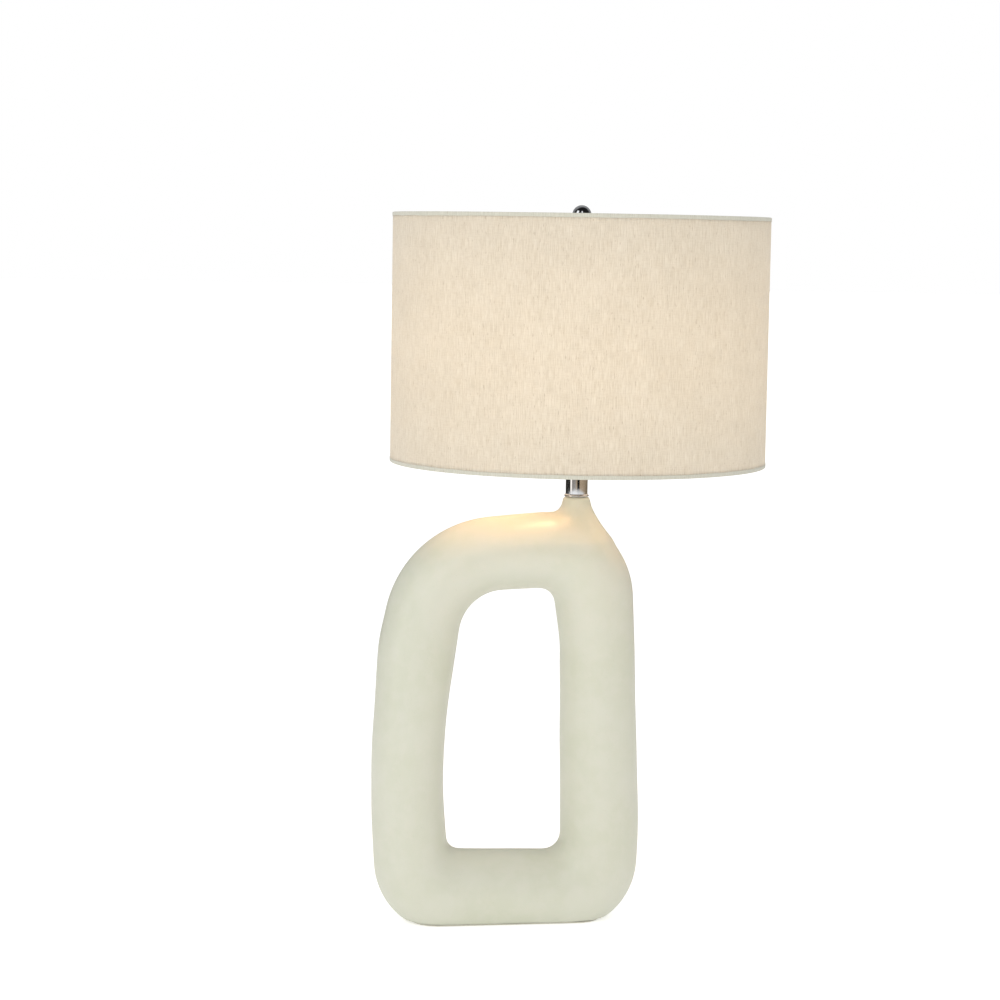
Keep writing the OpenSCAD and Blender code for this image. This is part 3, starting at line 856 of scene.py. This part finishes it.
def harp_path(steps=14):
    """Middle line of the harp from its left foot over the bulb to its right foot, in the x-z plane."""
    foot_x = half_width("harp_saddle") - SADDLE_THICK / 2
    foot_z = high("harp_saddle")[2]
    straight = low("harp_saddle")[2] + HARP_STRAIGHT
    bow = half_width("harp") - HARP_WIRE
    bow_z = high("harp")[2] - HARP_WIRE - 1 - bow
    run, rise = foot_x + HARP_SPREAD, bow_z - straight
    tilted = math.atan2(rise, run) - math.acos((bow + HARP_SPREAD) / math.hypot(run, rise))
    side = [(foot_x, foot_z + (straight - foot_z) * k / 6) for k in range(6)]
    for k in range(steps + 1):
        a = tilted * k / steps
        side.append((foot_x + HARP_SPREAD * (1 - math.cos(a)), straight + HARP_SPREAD * math.sin(a)))
    for k in range(3 * steps + 1):
        a = -tilted + (math.pi / 2 + tilted) * k / (3 * steps)
        side.append((bow * math.cos(a), bow_z + bow * math.sin(a)))
    left = [(AXIS_X - x, 0, z) for x, z in side]
    right = [(AXIS_X + x, 0, z) for x, z in side[-2::-1]]
    return left + right


def harp_pieces():
    top = high("harp")[2]
    boss_r, bore = 5.5, 2.12
    crimp = rounded([(bore, top - 7.4, 0.4), (boss_r, top - 7.4, 1.2), (boss_r + 0.3, top - 3.7, 3),
                     (boss_r, top, 0.9), (bore, top, 0.4)], 5)
    shape = join(sweep(harp_path(), HARP_WIRE), lathe(crimp, 48, closed=True))
    piece("harp_wire", shape, "base", "harp", "nickel")

    inner, lip = 2.75, 0.35
    for side in ("left", "right"):
        node = f"harp_sleeve_{side}"
        lo, hi = span(node)
        outer = half_width(node)
        profile = rounded([(inner, lo, 0.3), (outer, lo, 0.6), (outer, lo + 1.8, 0.5),
                           (outer - lip, lo + 2.3, 0.5), (outer - lip, hi - 2.3, 0.5), (outer, hi - 1.8, 0.5),
                           (outer, hi, 0.6), (inner, hi, 0.3)], 4)
        shape = lathe(profile, 48, closed=True, centre=(middle(node)[0], 0))
        piece(f"sleeve_{side}", shape, f"sleeve_{side}", node, "nickel", sharp=40)


def harp_strip():
    """The saddle: one bent strip, broad under the socket and narrow where it enters the harp."""
    lo, hi = span("harp_saddle")
    half_x = half_width("harp_saddle") - SADDLE_THICK / 2
    floor_z, tip_z = lo + SADDLE_THICK / 2, hi - 0.3
    bend, step = 3.2, 2.5
    path = rounded([(-half_x, tip_z, 0), (-half_x, floor_z, bend), (half_x, floor_z, bend),
                    (half_x, tip_z, 0)], 8, closed=False)
    fine = [path[0]]
    for a, b in zip(path, path[1:]):
        pieces = max(1, int(np.linalg.norm(b - a) / step))
        fine += [a + (b - a) * k / pieces for k in range(1, pieces + 1)]
    broad, narrow, bevel, thick = 6, 2.3, 0.35, SADDLE_THICK / 2
    rings = []
    for i, at in enumerate(fine):
        along = fine[min(i + 1, len(fine) - 1)] - fine[max(i - 1, 0)]
        along = along / np.linalg.norm(along)
        out = np.array([-along[1], along[0]])
        half_w = broad + (narrow - broad) * ease((abs(at[0]) - half_x + 14) / 12)
        section = rounded([(-half_w, -thick, bevel), (half_w, -thick, bevel), (half_w, thick, bevel),
                           (-half_w, thick, bevel)], 3)
        places = [(y, at + out * n) for y, n in section]
        rings.append([(AXIS_X + p[0], y, p[1]) for y, p in places])
    piece("saddle_strip", skin(rings, capped=True), "base", "harp_saddle", "nickel", sharp=40)


def threaded_stud():
    """Swivel: a shank in the harp's crimp, a round flange and a fine thread that takes the finial."""
    lo, hi = span("swivel_stud")
    seat = lo + 6
    flange_r, flange_top = half_width("swivel_stud"), seat + 2
    shank, core, depth = 2, 3.05, 0.42
    start, end = flange_top + 0.6, hi - 0.4
    profile = rounded([(0, lo, 0), (shank, lo, 0.4), (shank, seat, 0.1), (flange_r, seat, 0.5),
                       (flange_r, flange_top, 0.6), (core - depth, flange_top, 0.2),
                       (core - depth, start, 0)], 5, closed=False)
    rows, segments = 12, 48
    count = int((end - start) / FINIAL_PITCH * rows)
    rings = lathe_rings(profile, segments)
    for j in range(1, count + 1):
        z = start + (end - start) * j / count
        fade = min(1, j / rows, (count - j) / (rows * 0.6))
        ring = []
        for k, a in enumerate(angles(segments)):
            wave = abs(((z / FINIAL_PITCH - k / segments) % 1) * 2 - 1)
            r = core - depth * (1 - wave * fade)
            ring.append((AXIS_X + r * math.cos(a), r * math.sin(a), z))
        rings.append(ring)
    rings.append([(AXIS_X, 0, hi)])
    piece("swivel_screw", skin(rings), "stud", "swivel_stud", "nickel")


# ---------------------------------------------------------------- socket and switch

def socket_metal():
    cap, cap_high = span("socket_cap")
    cap_r = half_width("socket_cap")
    sheet, bore = 0.8, 5
    inner = cap_r - sheet - 0.1
    turned("socket_dome", [(bore, cap, 0.4), (9, cap, 1.2), (10.5, cap + 2.4, 3), (cap_r - 2.6, cap + 7.6, 5),
                           (cap_r - 0.6, cap + 12, 1.5), (cap_r, cap + 13, 0.8), (cap_r, cap_high - 1.2, 0.6),
                           (cap_r - 0.5, cap_high, 0.3), (inner, cap_high, 0.2), (inner, cap + 13, 1),
                           (cap_r - 4, cap + 9, 4), (9, cap + 3, 2), (7.5, cap + 9, 0.6),
                           (bore, cap + 9, 0.3)],
           "base", "socket_cap", "nickel", 112)

    lo, hi = span("socket_shell")
    r = half_width("socket_shell")
    bead = 0.55
    outer = [(r - 0.3, lo, 0.3)]
    for z in (cap_high + 2, cap_high + 4.6, hi - 9.5, hi - 6.9):
        outer += [(r - bead, z - 0.9, 0.4), (r, z, 0.5), (r - bead, z + 0.9, 0.4)]
    outer += [(r - bead, hi - 2.2, 0.5), (r, hi - 1.2, 0.5), (r - 0.2, hi, 0.4),
              (r - sheet - bead, hi, 0.3), (r - sheet - bead, lo, 0.3)]
    turned("socket_barrel", outer, "base", "socket_shell", "nickel", 112, steps=4)

    lo, hi = span("socket_liner")
    r = half_width("socket_liner") - 0.5
    paper = 0.9
    turned("socket_paper", [(r - paper, lo, 0.2), (r, lo, 0.2), (r, hi, 0.3), (r - paper, hi, 0.3)],
           "base", "socket_liner", "fibre_paper")
    shape = bulb_thread(half_width("screw_shell"), 0.45, *span("screw_shell"), 0.12)
    piece("socket_thread", shape, "base", "screw_shell", "brass")


# The knob's outline: its radius as a share of the largest, and the place along its length
KNOB_PROFILE = [(0.62, 0.0), (0.9, 0.02), (0.97, 0.06), (1, 0.14), (1, 0.3), (1, 0.5), (1, 0.7), (1, 0.84),
                (0.985, 0.91), (0.93, 0.96), (0.82, 0.99), (0.55, 1.0), (0.5, 0.985), (0.3, 0.975)]
KNOB_HOLLOW = 0.972
KNOB_RIBS = 20
RIB_DEPTH = 0.6


def switch_pieces():
    """Turn knob with moulded ribs, on its shaft, and the collar that it comes out through."""
    front, back = low("turn_knob")[1], high("turn_knob")[1]
    axis_z = middle("turn_knob")[2]
    r, length = half_width("turn_knob"), back - front
    rings = [[(0, 0, 0)]]
    for scale, t in KNOB_PROFILE:
        strength = max(0.0, min(1, (t - 0.04) / 0.08, (0.95 - t) / 0.06))
        ring = []
        for a in angles(KNOB_RIBS * 10):
            rib = 0.5 + 0.5 * math.cos(a * KNOB_RIBS)
            radius = r * scale - RIB_DEPTH * strength * (1 - rib ** 2)
            ring.append((radius * math.cos(a), radius * math.sin(a), t * length))
        rings.append(ring)
    rings.append([(0, 0, KNOB_HOLLOW * length)])
    shape = tilt(skin(rings), (AXIS_X, back, axis_z), -1)
    piece("ribbed_knob", shape, "switch_knob", "turn_knob", "phenolic")

    front, back = low("switch_shaft")[1], high("switch_shaft")[1]
    r, length = half_width("switch_shaft"), back - front
    profile = rounded([(0, 0, 0), (r, 0, 0.4), (r, length, 0.4), (0, length, 0)], 4, closed=False)
    shape = crosswise(profile, (AXIS_X, back, axis_z), -1, 40)
    piece("switch_spindle", shape, "switch_knob", "switch_shaft", "zinc_steel")

    start_y = 1.2 - half_width("socket_shell")
    profile = rounded([(2.7, 0, 0.2), (4.6, 0, 0.2), (4.6, 2.2, 0.3), (3.9, 2.6, 0.2), (2.7, 2.6, 0.2)], 3)
    shape = crosswise(profile, (AXIS_X, start_y, axis_z), -1, 48, closed=True)
    piece("switch_collar", shape, "base", "", "nickel")


# ---------------------------------------------------------------- bulb

def bulb_pieces():
    lo, base_high = span("bulb_screw_base")
    base_r = half_width("bulb_screw_base")
    thread_top = base_high - 5
    rim = base_r - 0.1
    collar = rounded([(rim - 1, thread_top - 0.4, 0.2), (rim - 0.6, thread_top - 0.2, 0.2),
                      (rim, thread_top + 0.8, 0.6), (rim, base_high - 0.2, 0.3),
                      (rim - 0.7, base_high, 0.3)], 4)
    shape = join(bulb_thread(base_r, 0.9, lo, thread_top, 0.35), lathe(collar, 72, closed=True))
    piece("bulb_thread", shape, "bulb", "bulb_screw_base", "nickel")

    lo, hi = span("bulb_insulator")
    r = half_width("bulb_insulator")
    turned("bulb_black_glass", [(0, lo, 0), (r * 0.5, lo, 0.6), (r * 0.62, lo + 1.2, 2), (r, hi - 0.6, 1.5),
                                (r, hi, 0.4), (0, hi, 0)],
           "bulb", "bulb_insulator", "phenolic", 64, closed=False)
    lo, hi = span("bulb_tip")
    r = half_width("bulb_tip")
    turned("bulb_contact_tip", [(0, lo, 0), (r * 0.45, lo + 0.1, 1), (r * 0.85, lo + 0.6, 0.8),
                                (r, lo + 1, 0.5), (r, hi, 0.3), (0, hi, 0)],
           "bulb_contact", "bulb_tip", "brass", 48, closed=False)

    # The glass: a neck along a curve with four control points, then a ball
    foot = rim - 0.5
    join_angle = math.radians(-36)
    end = np.array([BULB_R * math.cos(join_angle), BULB_CENTRE_Z + BULB_R * math.sin(join_angle)])
    lean = np.array([-math.sin(join_angle), math.cos(join_angle)])
    reach, neck_steps, ball_steps = 17, 16, 36
    first = np.array([foot + 1.2, base_high + 7])
    second = first + (0.6, reach * 0.7)
    third = end - lean * reach
    profile = [(0, base_high), (foot, base_high), (foot + 0.2, base_high + 2)]
    for k in range(neck_steps + 1):
        t = k / neck_steps
        s = 1 - t
        profile.append(tuple(s ** 3 * first + 3 * t * s ** 2 * second + 3 * t * t * s * third + t ** 3 * end))
    for k in range(1, ball_steps):
        a = join_angle + (math.pi / 2 - join_angle) * k / ball_steps
        profile.append((BULB_R * math.cos(a), BULB_CENTRE_Z + BULB_R * math.sin(a)))
    profile.append((0, BULB_CENTRE_Z + BULB_R))
    globe = piece("bulb_globe", lathe(profile, 80), "bulb", "bulb_glass", "bulb_glass")
    globe.visible_shadow = False


# ---------------------------------------------------------------- shade

SEAM_OVERLAP = 10
SEAM_RAMP = 12
SEAM_TUCK = 1.2
TAPE = 4.4
TAPE_THICK = 0.42
YARN_RUNS = 24
YARN_RELIEF = 0.09
HOOP_WIRE = 1.75


def cloth_map(obj, across):
    """Writes the UV map "cloth", in metres, from one (u, v) for each point."""
    mesh = obj.data
    layer = mesh.uv_layers.new(name="cloth")
    corner_point = np.zeros(len(mesh.loops), int)
    mesh.loops.foreach_get("vertex_index", corner_point)
    layer.data.foreach_set("uv", (np.array(across, float) * MM)[corner_point].ravel())


def slub(around, up, seed):
    """Thick-and-thin yarn relief, from -1 to 1, over a grid of places round and up the cloth."""
    rng = np.random.default_rng(seed)
    relief = np.zeros((len(around), len(up)))
    for column in range(len(around)):
        runs = rng.uniform(-1, 1, YARN_RUNS)
        places = np.sort(rng.uniform(up[0], up[-1], YARN_RUNS))
        relief[column] = np.interp(up, places, runs)
    smooth = relief.copy()
    smooth[1:-1] = (relief[:-2] + 2 * relief[1:-1] + relief[2:]) / 4
    return smooth


def linen_wrap():
    """One length of linen round the drum, its end lapped over its start at the back."""
    lo, hi = span("shade_fabric")
    columns, rows = 880, 110
    length = 2 * math.pi * SHADE_R + SEAM_OVERLAP
    around = np.linspace(0, length, columns + 1)
    up = np.linspace(0, hi - lo, rows + 1)
    relief = slub(around, up, 11) * YARN_RELIEF
    start = math.pi / 2 - SEAM_OVERLAP / 2 / SHADE_R
    points, places = [], []
    for i, u in enumerate(around):
        lap = ease((u - (length - SEAM_OVERLAP - SEAM_RAMP)) / SEAM_RAMP)
        tuck = np.clip((u - (length - SEAM_TUCK)) / SEAM_TUCK, 0, 1)
        base = SHADE_R - 0.12 + lap * 0.45 - tuck * 0.3
        a = start + u / SHADE_R
        for j, v in enumerate(up):
            r = base + relief[i, j]
            points.append((AXIS_X + r * math.cos(a), r * math.sin(a), lo + v))
            places.append((u, v))
    tall = rows + 1
    faces = [(i * tall + j, (i + 1) * tall + j, (i + 1) * tall + j + 1, i * tall + j + 1)
             for i in range(columns) for j in range(rows)]
    cloth = piece("linen_wrap", (points, faces), "shade", "shade_fabric shade_seam", "linen", solid=False)
    cloth_map(cloth, places)
    return cloth


def film_drum():
    """The white film that the linen is bonded to, one thin wall with a trace of waviness."""
    radius = half_width("shade_liner") - 0.5
    lo, hi = span("shade_liner")
    columns, rows = 360, 24
    rings = []
    for j in range(rows + 1):
        ring = []
        for a in angles(columns):
            r = radius + 0.06 * math.sin(9 * a + j * 0.7) * math.sin(j * 0.5)
            ring.append((AXIS_X + r * math.cos(a), r * math.sin(a), lo + (hi - lo) * j / rows))
        rings.append(ring)
    piece("film_drum", skin(rings), "shade", "shade_liner", "shade_film", solid=False)


def edge_binding(node, name, edge, way):
    """Linen tape folded over one edge of the drum, reaching from it by way: up, 1, or down, -1."""
    outer = SHADE_R + 0.38
    inner = half_width("shade_liner") - 1.35
    reach = TAPE * 1.25
    section = rounded([(outer, TAPE, 0.1), (outer, 0, 0.9), (inner, 0, 0.9), (inner, reach, 0.1),
                       (inner + TAPE_THICK, reach, 0.1), (inner + TAPE_THICK, TAPE_THICK, 0.4),
                       (outer - TAPE_THICK, TAPE_THICK, 0.4), (outer - TAPE_THICK, TAPE, 0.1)], 5)
    lengths = np.concatenate([[0], np.cumsum(np.linalg.norm(np.diff(section, axis=0), axis=1))])
    columns = 420
    rings, places = [], []
    for i in range(columns + 1):
        a = math.pi / 2 + 2 * math.pi * i / columns
        wobble = 0.16 * math.sin(7 * a + 1.1) + 0.1 * math.sin(23 * a + 0.4)
        ripple = 0.04 * math.sin(61 * a) + 0.03 * math.sin(97 * a + 2)
        ring = []
        for (r, down), along in zip(section, lengths):
            free = min(1, down / TAPE) ** 2
            r += ripple * free
            ring.append((AXIS_X + r * math.cos(a), r * math.sin(a), edge + way * (down + wobble * free)))
            places.append((2 * math.pi * SHADE_R * i / columns, along))
        rings.append(ring)
    tape = piece(name, skin(rings, capped=True), "shade", node, "linen_tape", sharp=55)
    cloth_map(tape, places)
    return tape


def spider_frame():
    lo, hi = span("spider_hub")
    hub_r, hole = half_width("spider_hub"), 4
    turned("spider_washer", [(hole, lo, 0.4), (hub_r, lo, 0.6), (hub_r, hi - 0.6, 0.6),
                             (hub_r - 2.5, hi - 0.5, 1), (hub_r - 4.2, hi, 0.8), (hole, hi, 0.6)],
           "shade", "spider_hub", "nickel", 80)
    arm_z, ring_z = (lo + hi) / 2, middle("top_ring")[2]
    ring_r = half_width("top_ring") - HOOP_WIRE
    bend_r, bend, wire = 188, 14, 1.95
    line = rounded([(hub_r - 1.6, arm_z, 0), (bend_r, arm_z, bend), (ring_r - 0.6, ring_z - 0.4, 0)],
                   10, closed=False)
    arms = []
    for degrees in (90, 210, 330):
        a = math.radians(degrees)
        arms.append(sweep([(AXIS_X + r * math.cos(a), r * math.sin(a), z) for r, z in line], wire, 18))
    piece("spider_wires", join(*arms), "shade", "spider_arms", "nickel")
    for node, name in (("top_ring", "upper_hoop"), ("bottom_ring", "lower_hoop")):
        r, z, wire = half_width(node) - HOOP_WIRE, middle(node)[2], 1.7
        section = [(r + wire * math.cos(a), z + wire * math.sin(a)) for a in angles(16)]
        piece(name, lathe(section, 240, closed=True), "shade", node, "nickel")


# ---------------------------------------------------------------- camera and studio, in metres

CAMERA_BACK = 3.0
CAMERA_SIDE = 0.0883
CAMERA_HEIGHT = 0.7918
CAMERA_TURN = math.radians(9)
CAMERA_PITCH = math.radians(5.73)
CAMERA_ROLL = math.radians(0.935)
CAMERA_LENS = 93.88


def camera():
    data = bpy.data.cameras.new("camera")
    data.lens = CAMERA_LENS
    data.sensor_width = 36
    data.clip_start = 0.05
    data.clip_end = 200
    eye = bpy.data.objects.new("camera", data)
    bpy.context.scene.collection.objects.link(eye)
    s, c = math.sin(CAMERA_TURN), math.cos(CAMERA_TURN)
    flat_ahead, flat_right, up = Vector((s, c, 0)), Vector((c, -s, 0)), Vector((0, 0, 1))
    eye_at = Vector((AXIS_X * MM, 0, CAMERA_HEIGHT)) - flat_right * CAMERA_SIDE - flat_ahead * CAMERA_BACK
    ahead = flat_ahead * math.cos(CAMERA_PITCH) - up * math.sin(CAMERA_PITCH)
    above = flat_ahead * math.sin(CAMERA_PITCH) + up * math.cos(CAMERA_PITCH)
    right = flat_right * math.cos(CAMERA_ROLL) + above * math.sin(CAMERA_ROLL)
    above = above * math.cos(CAMERA_ROLL) - flat_right * math.sin(CAMERA_ROLL)
    turn = np.array([right, above, -ahead]).T
    eye.matrix_world = Matrix.Translation(eye_at) @ Matrix(turn.tolist()).to_4x4()
    bpy.context.scene.camera = eye


SKY = 0.78
# How brightly the floor glows for the camera, which keeps it white, and for everything that it lights
FLOOR_LIFT = 0.46
FLOOR_BOUNCE = 0.2
FLOOR_REACH = 40.0


def floor():
    """A wide, pale, very faintly uneven floor."""
    rows = 24
    rings = [[(0, 0, 0)]]
    for j in range(1, rows + 1):
        r = FLOOR_REACH * (j / rows) ** 2.5
        rings.append([(r * math.cos(a), r * math.sin(a), 0) for a in angles(64)])
    points, faces = skin(rings)
    ground = mesh_object("floor", (points, [face[::-1] for face in faces]), 1)
    m = surface("pale_floor")
    grain = m.noise(m.place(), 40, 3, 0.6)
    tone = m.mix(m.remap(grain, 0.3, 0.7), srgb(246, 246, 245), srgb(250, 250, 249))
    seen = m.add("ShaderNodeLightPath").outputs["Is Camera Ray"]
    glow = m.remap(seen, 0, 1, FLOOR_BOUNCE, FLOOR_LIFT)
    m.wire(color=tone, rough=0.8, specular=0.1, glow=(1, 1, 1, 1), glow_strength=glow)
    ground.data.materials.append(m.owner)


def add_light(name, kind, place, power, tint):
    data = bpy.data.lights.new(name, kind)
    data.energy = power
    data.color = tint
    lamp = bpy.data.objects.new(name, data)
    lamp.location = place
    bpy.context.scene.collection.objects.link(lamp)
    return lamp


KEY_PLACE = (-1.5, -2.6, 1.5)
KEY_TARGET = (0, 0, 0.5)
KEY_SIZE = 1.8
KEY_POWER = 20
BULB_POWER = 2.9
BULB_WARMTH = (1.0, 0.56, 0.27)


def lights():
    """A soft key light from the front left, and a ball of light just inside the bulb's glass."""
    key = add_light("key", "AREA", KEY_PLACE, KEY_POWER, (1, 1, 1))
    key.data.size = KEY_SIZE
    key.rotation_mode = "QUATERNION"
    key.rotation_quaternion = (Vector(KEY_PLACE) - Vector(KEY_TARGET)).to_track_quat("Z", "Y")
    bulb = add_light("bulb_light", "POINT", (AXIS_X * MM, 0, BULB_CENTRE_Z * MM), BULB_POWER, BULB_WARMTH)
    bulb.data.shadow_soft_size = (BULB_R - 2) * MM
    bulb.visible_camera = False


# What shiny surfaces see at each compass angle, in degrees clockwise from the camera as seen from above:
# near eye level, and higher up, where two tall soft boxes stand against dark flags
ROOM_LEVEL = [(-171, 0.30), (-150, 0.04), (-72, 0.03), (-68, 1.6), (-54, 1.5), (-50, 0.30), (-20, 0.42),
              (3, 0.55), (7, 0.01), (27, 0.01), (33, 0.58), (75, 0.5), (118, 0.32), (135, 0.2), (171, 0.30)]
ROOM_ABOVE = [(-171, 0.34), (-125, 0.3), (-95, 0.02), (-76, 0.02), (-71, 1.5), (-46, 1.5), (-41, 0.02),
              (-7, 0.02), (-3, 1.2), (9, 1.2), (13, 0.02), (95, 0.02), (125, 0.3), (171, 0.34)]
DOME_R = 2.6
# Where the upper ramp, the dark ceiling and its grey back part fade in, as shares of the dome's radius
ABOVE_FADE = (0.12, 0.2)
CEILING_FADE = (0.8, 0.88)
BACK_FADE = (0.0, 0.4)
CEILING_DARK = (0.015, 0.015, 0.015, 1)
CEILING_GREY = (0.4, 0.4, 0.4, 1)


def compass(m, share, levels, warmth):
    """Colour around the dome from a list of compass angles and their brightness."""
    ramp = m.add("ShaderNodeValToRGB", {"Fac": share})
    while len(ramp.color_ramp.elements) < len(levels):
        ramp.color_ramp.elements.new(0.5)
    for element, (degrees, level) in zip(ramp.color_ramp.elements, levels):
        tint = warmth if degrees > 0 else warmth / 3
        element.position = (degrees + 180 - math.degrees(CAMERA_TURN)) / 360
        element.color = (level, level * (1 - 0.5 * tint), level * (1 - tint), 1)
    return ramp.outputs["Color"]


def reflections():
    """A dome of dark flags and bright cards that only shiny surfaces see."""
    rows = 24
    heights = [math.pi * k / rows - math.pi / 2 for k in range(rows + 1)]
    shape = lathe([(DOME_R * math.cos(a), DOME_R * math.sin(a)) for a in heights], 72, centre=(0, 0))
    dome = mesh_object("reflection_dome", shape, 1)
    dome.visible_camera = False
    dome.visible_diffuse = False
    dome.visible_transmission = False
    dome.visible_shadow = False
    dome.visible_volume_scatter = False
    m = surface("reflection_cards")
    at = m.split(m.add("ShaderNodeTexCoord").outputs["Object"])
    angle = m.math("ARCTAN2", at["X"], m.math("MULTIPLY", at["Y"], -1))
    share = m.remap(angle, -math.pi, math.pi)

    def fade(where, ends):
        return m.remap(where, ends[0] * DOME_R, ends[1] * DOME_R, smooth=True)

    above = compass(m, share, ROOM_ABOVE, 0)
    seen = m.mix(fade(at["Z"], ABOVE_FADE), compass(m, share, ROOM_LEVEL, 0.5), above)
    ceiling = m.mix(fade(at["Y"], BACK_FADE), CEILING_DARK, CEILING_GREY)
    seen = m.mix(fade(at["Z"], CEILING_FADE), seen, ceiling)
    dome.data.materials.append(m.finish(m.add("ShaderNodeEmission", {"Color": seen}).outputs["Emission"]))


def sky():
    """An even sky, which the camera sees as plain white."""
    m = Nodes(bpy.data.worlds.new("studio"))
    paths = m.add("ShaderNodeLightPath").outputs["Is Camera Ray"]

    def even(strength):
        return m.add("ShaderNodeBackground", {"Color": (1, 1, 1, 1), "Strength": strength}).outputs[0]

    either = m.add("ShaderNodeMixShader", {0: paths, 1: even(SKY), 2: even(1.0)})
    bpy.context.scene.world = m.finish(either.outputs["Shader"])
    bpy.context.scene.view_settings.view_transform = "Standard"


# ---------------------------------------------------------------- the lamp

# CAD nodes whose shape is right, which stay and only get a better material
STAYING = {"lamp_pipe": "zinc_steel", "bottom_nut": "zinc_steel", "lock_washer": "zinc_steel",
           "bottom_washer": "zinc_steel", "set_screw": "zinc_steel", "socket_core": "phenolic",
           "center_contact": "brass", "terminal_screws": "brass", "bulb_stem": "bulb_stem"}


def build():
    ceramic_base()
    pad = felt_foot()
    inlet_bushing()
    neck_metal()
    harp_strip()
    harp_pieces()
    threaded_stud()
    socket_metal()
    switch_pieces()
    bulb_pieces()
    cloth = linen_wrap()
    film_drum()
    bands = [edge_binding("top_trim", "upper_binding", SHADE_TOP, -1),
             edge_binding("bottom_trim", "lower_binding", low("bottom_trim")[2], 1)]
    spider_frame()
    ball_finial()
    for node, slot in STAYING.items():
        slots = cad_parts[node].data.materials
        slots.clear()
        slots.append(looks[slot])


black = moulded_black()
looks = {"ceramic": glazed_ceramic(), "chrome": polished_chrome(), "nickel": satin_nickel(),
         "zinc_steel": zinc_steel(), "brass": stamped_brass(), "black_plastic": black, "phenolic": black,
         "fibre_paper": fibre_paper(), "linen": shade_linen(), "linen_tape": edge_tape(),
         "felt": dense_felt(), "shade_film": lining_film(), "bulb_glass": frosted_glass(),
         "bulb_stem": light_strip()}
camera()
floor()
reflections()
sky()
lights()
build()
